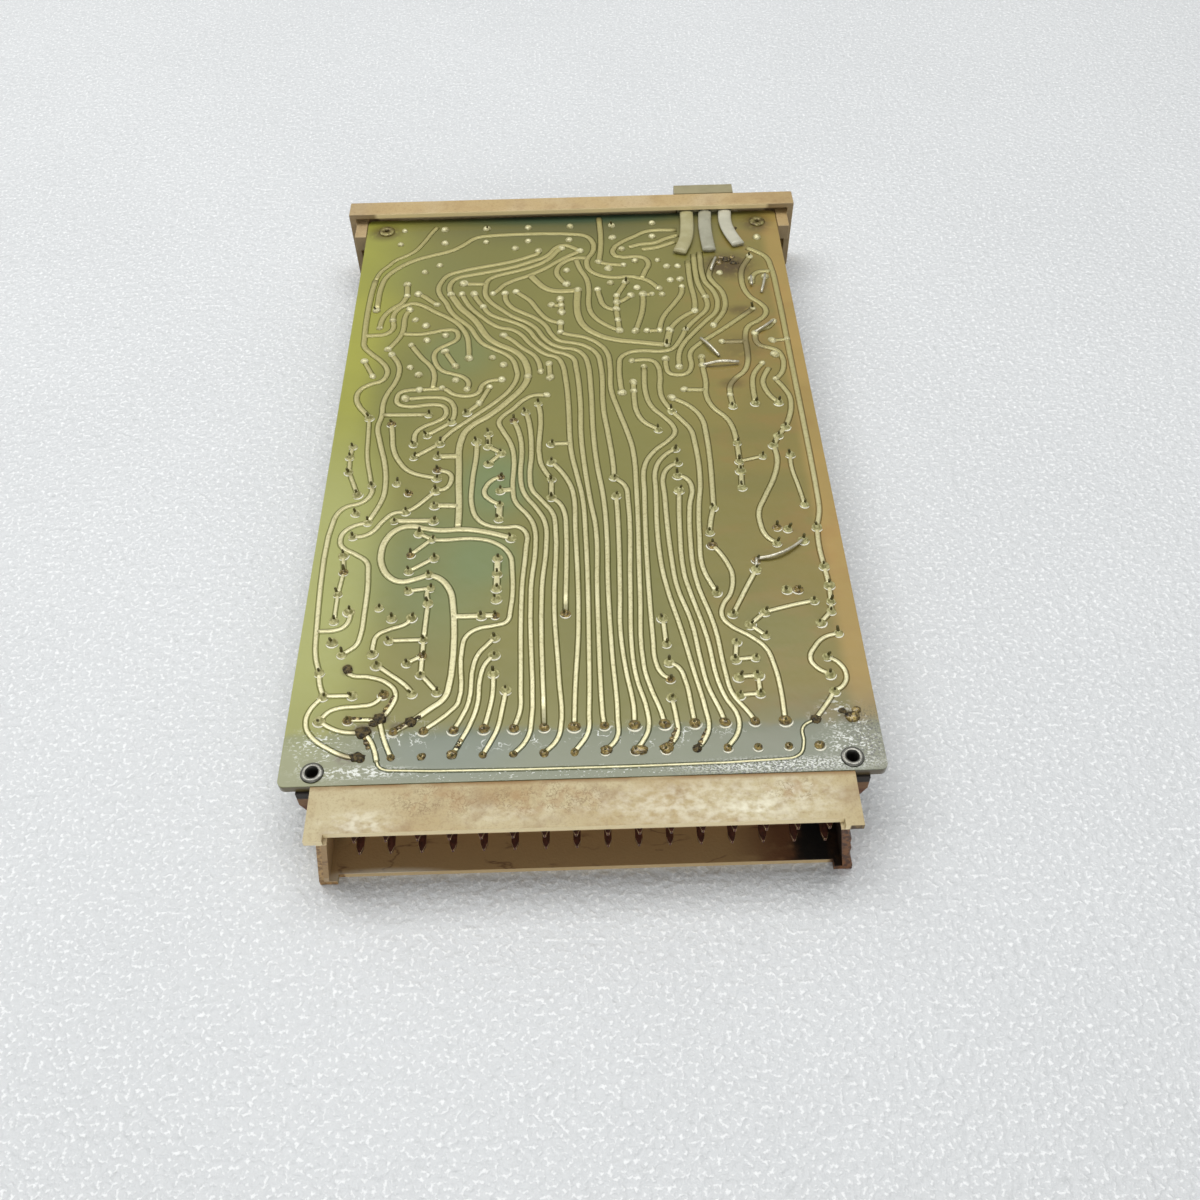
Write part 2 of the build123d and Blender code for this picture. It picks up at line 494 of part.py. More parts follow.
def pyramid(radius, sides, height):
    turns = [2 * math.pi * n / sides for n in range(sides)]
    corners = [Vector(math.cos(turn), math.sin(turn)) * radius for turn in turns]
    faces = [make_face(Polyline(*corners, close=True)).face()]
    for n, corner in enumerate(corners):
        flank = Polyline(corner, corners[(n + 1) % sides], Vector(0, 0, height), close=True)
        faces.append(make_face(flank).face())
    return Solid(Shell(faces))


def cut_at_joints(route, joints):
    """Splits a route where it meets a joint."""
    pieces = []
    piece = []
    for point in route:
        piece.append(point)
        if point in joints and len(piece) > 1:
            pieces.append(piece)
            piece = [point]
    if len(piece) > 1:
        pieces.append(piece)
    return pieces


def trimmed(piece, joints):
    """The piece's points, drawn back from the joints it starts or ends at."""
    points = [grid_point(point) for point in piece]
    trim = joint_radius + solder_clearance
    if piece[0] in joints:
        points[0] += (points[1] - points[0]).normalized() * trim
    if piece[-1] in joints:
        points[-1] += (points[-2] - points[-1]).normalized() * trim
    return points


def strip(points, width):
    """A flat face of the given width along the points, its corners mitred."""
    left = []
    right = []
    for n, point in enumerate(points):
        ahead = points[min(n + 1, len(points) - 1)] - points[min(n, len(points) - 2)]
        behind = points[max(n, 1)] - points[max(n - 1, 0)]
        along = (ahead.normalized() + behind.normalized()).normalized()
        reach = width / 2 / along.dot(ahead.normalized())
        left.append(point + Vector(-along.Y, along.X) * reach)
        right.append(point - Vector(-along.Y, along.X) * reach)
    return make_face(Polyline(*left, *reversed(right), close=True)).face()


def clear_of_joints(face, centres):
    """The face less a ring round every joint that it only passes."""
    reach = joint_radius + solder_clearance
    for centre in centres:
        if face.distance_to(Vertex(*centre)) < reach:
            ring = Location(centre) * RegularPolygon(reach, joint_sides)
            face = face - ring
    return face


def solder_side_tracks():
    joints = joint_points()
    centres = [grid_point(point) for point in joints]
    faces = []
    for routes, width in (
        (signal_tracks, track_width),
        (wide_tracks, wide_track_width),
        (link_tracks, link_track_width),
    ):
        for route in routes:
            for piece in cut_at_joints(route, joints):
                face = clear_of_joints(strip(trimmed(piece, joints), width), centres)
                faces += face.faces()
    joined = faces[0].fuse(*faces[1:])
    return [extrude(face, track_height, dir=(0, 0, 1)) for face in joined.faces()]


def clinched_wires():
    wires = []
    for route in clinched_leads:
        points = [grid_point(point) for point in route]
        points[0] += (points[1] - points[0]).normalized() * (joint_radius + solder_clearance)
        points[-1] += (points[-2] - points[-1]).normalized() * (joint_radius + solder_clearance)
        face = Location((0, 0, track_height)) * strip(points, lead_width)
        wires.append(extrude(face, lead_width))
    return wires


def prism(points, plane, depth):
    """A solid through the plane's points, half its depth to either side."""
    return extrude(plane * make_face(Polyline(*points, close=True)), depth / 2, both=True)


def connector_housing():
    """Shroud, contact carrier and fixing lugs in one moulding."""
    top = -shroud_top_drop
    inner_top = top - shroud_wall
    inner_floor = floor_level + shroud_wall
    rim = rim_set_back - shroud_depth
    body = box((-shroud_half, shroud_half), (rim, 0), (inner_top, top))
    body += box((-shroud_half, shroud_half), (rim, 0), (floor_level, inner_floor))
    for z in ((inner_top, top), (floor_level, inner_floor)):
        body += mirrored(box((shroud_half - ear_width, shroud_half), (-shroud_depth, rim), z))
    wall_top = shroud_half - end_wall_lean
    wall = [
        (wall_top, inner_top),
        (wall_top - end_wall, inner_top),
        (shroud_half - end_wall, inner_floor),
        (shroud_half, inner_floor),
    ]
    middle = Plane((0, -shroud_depth / 2, 0), x_dir=(1, 0, 0), z_dir=(0, -1, 0))
    body += mirrored(prism(wall, middle, shroud_depth))
    body -= broken_edge(inner_top, inner_floor)
    carrier = box((end_wall - wall_top, wall_top - end_wall), (cavity_back, 0), (inner_floor, inner_top))
    foot = -column_x(connector_rivet_column) - rivet_flange_radius - carrier_rivet_gap
    carrier += box((-foot, foot), (0, carrier_overlap), (floor_level, under_board))
    body += carrier
    body += mirrored(lug(foot))
    for row in range(2):
        for column in contact_columns:
            body -= contact_slot(column_x(column), contact_level(row))
    return body


def broken_edge(top, bottom):
    """What is missing from the outer front edge of the right-hand end wall."""
    outside = shroud_half + cut_overrun
    edge = [(outside, bottom), (outside, top)]
    for share, bite in end_wall_break:
        wall_face = shroud_half - end_wall_lean * (1 - share)
        edge.append((wall_face - bite, top + (bottom - top) * share))
    plane = Plane((0, -shroud_depth, 0), x_dir=(1, 0, 0), z_dir=(0, -1, 0))
    return prism(edge, plane, 2 * break_depth)


def lug(inner_end):
    outer_end = shroud_half + lug_reach
    front = -lug_front
    back = lug_depth - lug_front
    underside = under_board - lug_thickness
    plate = box((inner_end, outer_end), (0, back), (underside, under_board))
    plate += box((inner_end, outer_end), (front, 0), (underside, under_board))
    rib = [
        (inner_end, underside),
        (outer_end, underside),
        (outer_end - lug_rib_taper, underside - lug_rib_height),
        (inner_end, underside - lug_rib_height),
    ]
    middle = Plane((0, front + lug_rib_depth / 2, 0), x_dir=(1, 0, 0), z_dir=(0, -1, 0))
    plate += prism(rib, middle, lug_rib_depth)
    hole = rod(rivet_shank_radius + rivet_clearance, 4 * lug_thickness)
    for place in connector_rivet_places():
        plate -= place * hole
    return plate


def contact_level(row):
    return -upper_contact_drop - row * contact_row_pitch


def contact_slot(x, z):
    half_width = blade_width / 2 + contact_clearance
    half_height = blade_thickness / 2 + contact_clearance
    length = (cavity_back - cut_overrun, carrier_overlap + cut_overrun)
    return box((x - half_width, x + half_width), length, (z - half_height, z + half_height))


def contact(x, row):
    """A flat blade with a narrowed tip, its tail turned up to the board."""
    z = contact_level(row)
    tip = -(lower_contact_reach if row else upper_contact_reach)
    tail = row_y(contact_step * row)
    outline = [
        (x - blade_tip_width / 2, tip),
        (x + blade_tip_width / 2, tip),
        (x + blade_width / 2, tip + blade_taper),
        (x + blade_width / 2, tail),
        (x - blade_width / 2, tail),
        (x - blade_width / 2, tip + blade_taper),
    ]
    blade = prism(outline, Plane((0, 0, z)), blade_thickness)
    half = tail_width / 2
    return blade + box((x - half, x + half), (tail - tail_width, tail), (z, under_board))


def front_panel():
    """A shallow tray, open towards the board, with two lugs the board is riveted to."""
    ends = (-panel_half, panel_half)
    tray = box(ends, (panel_back, panel_front), (floor_level, panel_rise))
    front_edges = tray.edges().group_by(Axis.Y)[-1]
    tray = fillet(front_edges, panel_edge_radius)
    inside = (panel_end_wall - panel_half, panel_half - panel_end_wall)
    level = (floor_level + panel_rim, panel_rise - panel_rim)
    tray -= box(inside, (panel_back, panel_wall_back), level)
    tray += mirrored(panel_lug())
    x = column_x(block_column)
    half = block_width / 2 - block_shoulder + block_clearance
    level = (block_bottom + block_shoulder - block_clearance, panel_rise - panel_rim)
    return tray - box((x - half, x + half), (panel_wall_back, panel_front), level)


def panel_lug():
    outer = panel_half - panel_end_wall
    inner = half_board - panel_lug_inner_reach
    bottom = under_board - panel_lug_floor
    length = (panel_back - panel_lug_length, panel_wall_back)
    plate = box((inner, outer), length, (bottom, under_board))
    plate += box((half_board + panel_lug_edge_gap, outer), length, (under_board, 0))
    hole = rod(rivet_shank_radius + rivet_clearance, 4 * panel_lug_floor)
    for place in panel_rivet_places():
        plate -= place * Location((0, 0, bottom)) * hole
    return plate


def socket_places():
    level = panel_rise - socket_drop
    xs = [column_x(block_column) + step * socket_pitch for step in (-1, 0, 1)]
    return [Location((x, block_front, level), (-90, 0, 0)) for x in xs]


def test_socket_block():
    """The front part stands on the panel's face, and its narrower back reaches in through a window."""
    x = column_x(block_column)
    half = block_width / 2
    body = box((x - half, x + half), (panel_front, block_front), (block_bottom, panel_rise))
    half -= block_shoulder
    level = (block_bottom + block_shoulder, panel_rise - panel_rim - block_clearance)
    body += box((x - half, x + half), (block_back, panel_front), level)
    for place in socket_places():
        body -= place * jack_form(0)
    return body


def jack_form(proud):
    """A collar, standing proud or flush, on a narrower barrel."""
    length = socket_collar + proud
    collar = Location((0, 0, proud - length / 2)) * rod(socket_radius, length)
    return collar + Location((0, 0, -socket_length / 2)) * rod(socket_barrel_radius, socket_length)


def test_jack():
    bore = rod(socket_bore_radius, 2 * socket_bore_depth)
    return jack_form(socket_proud) - Location((0, 0, socket_proud)) * bore


def sleeve(outline):
    points = [grid_point(point) for point in outline]
    level = track_height + sleeve_clearance
    points[0] = Vector(points[0].X, block_back)
    points[-1] = Vector(points[-1].X, block_back)
    face = make_face(Polyline(*points, close=True))
    return extrude(Location((0, 0, level)) * face, sleeve_thickness)


def axial_body(hole, steps, length, radius):
    x = column_x(hole[0] + steps / 2)
    z = under_board - component_clearance - radius
    return Location((x, row_y(hole[1]), z), (0, 90, 0)) * rod(radius, length)


def axial_leads(hole, steps, length, radius):
    z = under_board - component_clearance - radius
    half = lead_width / 2
    middle = column_x(hole[0] + steps / 2)
    reach = steps * grid / 2
    lead = [
        (length / 2, z - half),
        (reach + half, z - half),
        (reach + half, under_board),
        (reach - half, under_board),
        (reach - half, z + half),
        (length / 2, z + half),
    ]
    plane = Plane((middle, row_y(hole[1]), 0), x_dir=(1, 0, 0), z_dir=(0, -1, 0))
    other = [(-x, level) for x, level in lead]
    return [prism(lead, plane, lead_width), prism(other, plane, lead_width)]


def film_capacitor(column):
    y = row_y(capacitor_row)
    x = column_x(column)
    half = capacitor_thickness / 2
    length = (y - capacitor_length / 2, y + capacitor_length / 2)
    return box((x - half, x + half), length, (under_board - capacitor_height, under_board))


def transistor(place):
    point = grid_point(place)
    top = under_board - transistor_stand_off
    body = Location((point.X, point.Y, top - transistor_height / 2))
    body = body * rod(transistor_radius, transistor_height)
    reach = transistor_radius + cut_overrun
    flat = ((point.X - reach, point.X + reach), (point.Y - reach, point.Y - transistor_flat))
    return body - box(*flat, (top - transistor_height - cut_overrun, top + cut_overrun))


def transistor_pins(place):
    point = grid_point(place)
    half = transistor_pin_width / 2
    pins = []
    for step in (-1, 0, 1):
        x = point.X + step * transistor_pin_pitch
        level = (under_board - transistor_stand_off, under_board)
        pins.append(box((x - half, x + half), (point.Y - half, point.Y + half), level))
    return pins


resistor = (axial_steps, resistor_length, resistor_radius)
diode = (axial_steps, diode_length, diode_radius)
electrolytic = (electrolytic_steps, electrolytic_length, electrolytic_radius)
connector_grip = board_thickness + lug_thickness
panel_grip = board_thickness + panel_lug_floor

parts = {
    "circuit_board": [board()],
    "solder_side_tracks": solder_side_tracks(),
    "solder_joints": solder_joints(),
    "clinched_leads": clinched_wires(),
    "connector_housing": [connector_housing()],
    "contacts_upper_row": [contact(column_x(column), 0) for column in contact_columns],
    "contacts_lower_row": [contact(column_x(column), 1) for column in contact_columns],
    "connector_rivets": [place * hollow_rivet(connector_grip) for place in connector_rivet_places()],
    "front_panel": [front_panel()],
    "panel_rivets": [place * rivet(panel_grip) for place in panel_rivet_places()],
    "test_socket_block": [test_socket_block()],
    "test_jacks": [place * test_jack() for place in socket_places()],
    "resistor_bodies": [axial_body(hole, *resistor) for hole in resistor_holes],
    "resistor_leads": [lead for hole in resistor_holes for lead in axial_leads(hole, *resistor)],
    "diode_bodies": [axial_body(hole, *diode) for hole in diode_holes],
    "diode_leads": [lead for hole in diode_holes for lead in axial_leads(hole, *diode)],
    "electrolytic_capacitors": [axial_body(hole, *electrolytic) for hole in electrolytic_holes],
    "electrolytic_leads": [lead for hole in electrolytic_holes for lead in axial_leads(hole, *electrolytic)],
    "film_capacitors": [film_capacitor(column) for column in capacitor_columns],
    "transistors": [transistor(place) for place in transistor_places],
    "transistor_leads": [pin for place in transistor_places for pin in transistor_pins(place)],
}
for name, outline in sleeve_outlines.items():
    parts[name] = [sleeve(outline)]

# Stand frame: the footprint's middle at the origin, the underside on the ground plane
to_stand = Location((0, (shroud_depth - block_front - socket_proud) / 2, -floor_level))
os.makedirs("parts", exist_ok=True)
for name, shapes in parts.items():
    solids = [to_stand * solid for shape in shapes for solid in shape.solids()]
    export_step(Compound(children=solids), f"parts/{name}.step")
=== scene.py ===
import math
import random

import bmesh
import bpy
from mathutils import Matrix, Vector, noise


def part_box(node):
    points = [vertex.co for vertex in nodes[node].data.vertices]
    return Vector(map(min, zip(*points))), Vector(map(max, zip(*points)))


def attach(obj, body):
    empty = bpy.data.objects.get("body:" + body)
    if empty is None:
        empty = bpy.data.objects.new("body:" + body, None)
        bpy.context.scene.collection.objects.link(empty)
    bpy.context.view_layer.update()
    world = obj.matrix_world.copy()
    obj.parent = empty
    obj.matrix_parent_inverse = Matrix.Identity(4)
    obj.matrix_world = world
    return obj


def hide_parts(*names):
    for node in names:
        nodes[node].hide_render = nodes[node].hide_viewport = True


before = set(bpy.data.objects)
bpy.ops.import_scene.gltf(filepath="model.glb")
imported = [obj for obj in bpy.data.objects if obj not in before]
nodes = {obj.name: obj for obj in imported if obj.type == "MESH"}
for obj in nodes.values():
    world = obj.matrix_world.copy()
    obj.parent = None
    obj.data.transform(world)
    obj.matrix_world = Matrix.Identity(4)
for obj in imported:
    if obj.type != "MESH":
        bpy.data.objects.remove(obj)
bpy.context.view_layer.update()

mm = 0.001
boardLow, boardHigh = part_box("circuit_board")


def linearColour(hexCode):
    # sRGB hex to the linear colour that shaders take
    values = [int(hexCode[i:i + 2], 16) / 255 for i in (1, 3, 5)]
    return [v / 12.92 if v <= 0.04045 else ((v + 0.055) / 1.055) ** 2.4 for v in values] + [1]


def addNode(tree, kind, inputs=None, **settings):
    # inputs holds values, or sockets to link
    node = tree.nodes.new("ShaderNode" + kind)
    for name, value in settings.items():
        setattr(node, name, value)
    for name, value in (inputs or {}).items():
        socket = node.inputs[name]
        if isinstance(value, bpy.types.NodeSocket):
            tree.links.new(value, socket)
        else:
            socket.default_value = value
    return node


def newMaterial(name, **shaderValues):
    material = bpy.data.materials.new(name)
    material.use_nodes = True
    shader = material.node_tree.nodes["Principled BSDF"]
    for key, value in shaderValues.items():
        shader.inputs[key.replace("_", " ")].default_value = value
    place = addNode(material.node_tree, "TexCoord").outputs["Object"]
    return material, shader, place


def setColour(shader, colour):
    shader.id_data.links.new(colour, shader.inputs["Base Color"])


def newPiece(name, bm, materials, stands=None):
    # a finished mesh at the origin, riding on the one body in place of a CAD node
    mesh = bpy.data.meshes.new(name)
    bm.to_mesh(mesh)
    bm.free()
    piece = bpy.data.objects.new(name, mesh)
    bpy.context.collection.objects.link(piece)
    for material in materials:
        mesh.materials.append(material)
    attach(piece, "root")
    if stands:
        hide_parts(stands)
    return piece


def paintNode(name, material):
    piece = nodes[name]
    for held in piece.material_slots:
        held.material = material
    if not piece.material_slots:
        piece.data.materials.append(material)


def mergedCopy(nodeName):
    # the CAD node's loose triangles as one clean shell
    bm = bmesh.new()
    bm.from_mesh(nodes[nodeName].data)
    bmesh.ops.remove_doubles(bm, verts=bm.verts[:], dist=0.002 * mm)
    bmesh.ops.dissolve_limit(bm, angle_limit=math.radians(1), verts=bm.verts[:], edges=bm.edges[:])
    bmesh.ops.recalc_face_normals(bm, faces=bm.faces[:])
    return bm


def softenEdges(piece, width, segments, sharpAbove):
    bevel = piece.modifiers.new("softEdges", "BEVEL")
    bevel.width = width * mm
    bevel.segments = segments
    bevel.limit_method = "ANGLE"
    bevel.angle_limit = math.radians(sharpAbove)


def softCopy(nodeName, pieceName, finish, width, segments, sharpAbove=30):
    # a CAD node's own shell with softened edges, width in mm
    piece = newPiece(pieceName, mergedCopy(nodeName), [finish], nodeName)
    softenEdges(piece, width, segments, sharpAbove)
    piece.data.shade_smooth()
    piece.modifiers.new("evenShade", "WEIGHTED_NORMAL").keep_sharp = True


def spinProfile(profile, steps, closed=False):
    # turns (radius, height) points in mm about Z into a closed round body
    bm = bmesh.new()
    points = [bm.verts.new((radius * mm, 0, height * mm)) for radius, height in profile]
    ends = points[1:] + points[:1] if closed else points[1:]
    edges = [bm.edges.new(pair) for pair in zip(points, ends)]
    bmesh.ops.spin(bm, geom=points + edges, cent=(0, 0, 0), axis=(0, 0, 1),
                   angle=math.tau, steps=steps, use_merge=True)
    bmesh.ops.remove_doubles(bm, verts=bm.verts[:], dist=0.0005 * mm)
    bmesh.ops.recalc_face_normals(bm, faces=bm.faces[:])
    return bm


def addCopies(target, template, transforms, materialIndex=None):
    # adds the template's mesh to target once for each transform
    mesh = bpy.data.meshes.new("template")
    template.to_mesh(mesh)
    template.free()
    for transform in transforms:
        vertsBefore, facesBefore = len(target.verts), len(target.faces)
        target.from_mesh(mesh)
        target.verts.ensure_lookup_table()
        target.faces.ensure_lookup_table()
        bmesh.ops.transform(target, matrix=transform, verts=target.verts[vertsBefore:])
        for face in target.faces[facesBefore:]:
            face.smooth = True
            if materialIndex is not None:
                face.material_index = materialIndex
    bpy.data.meshes.remove(mesh)


def separateSolids(nodeName):
    # the middle of every separate solid in a CAD node, and half its size each way
    bm = mergedCopy(nodeName)
    found = []
    for start in bm.verts:
        if start.tag:
            continue
        start.tag = True
        waiting, corners = [start], []
        while waiting:
            vert = waiting.pop()
            corners.append(vert.co.copy())
            for edge in vert.link_edges:
                other = edge.other_vert(vert)
                if not other.tag:
                    other.tag = True
                    waiting.append(other)
        low = Vector([min(corner[axis] for corner in corners) for axis in range(3)])
        high = Vector([max(corner[axis] for corner in corners) for axis in range(3)])
        found.append(((low + high) / 2, (high - low) / 2))
    bm.free()
    return found


layout = {"pitch": 2.54 * mm, "middleColumn": 18.5, "firstRow": boardLow.y + 5 * mm}


def onBoard(column, row, height=0.0):
    # a place over the solder side, from grid steps and a height in mm
    x = (column - layout["middleColumn"]) * layout["pitch"]
    return Vector((x, layout["firstRow"] + row * layout["pitch"], boardHigh.z + height * mm))


def gridPlace(point):
    # the (column, row) that a point of the scene lies over
    return (point.x / layout["pitch"] + layout["middleColumn"],
            (point.y - layout["firstRow"]) / layout["pitch"])


print("stage: frame loaded,", len(nodes), "nodes")


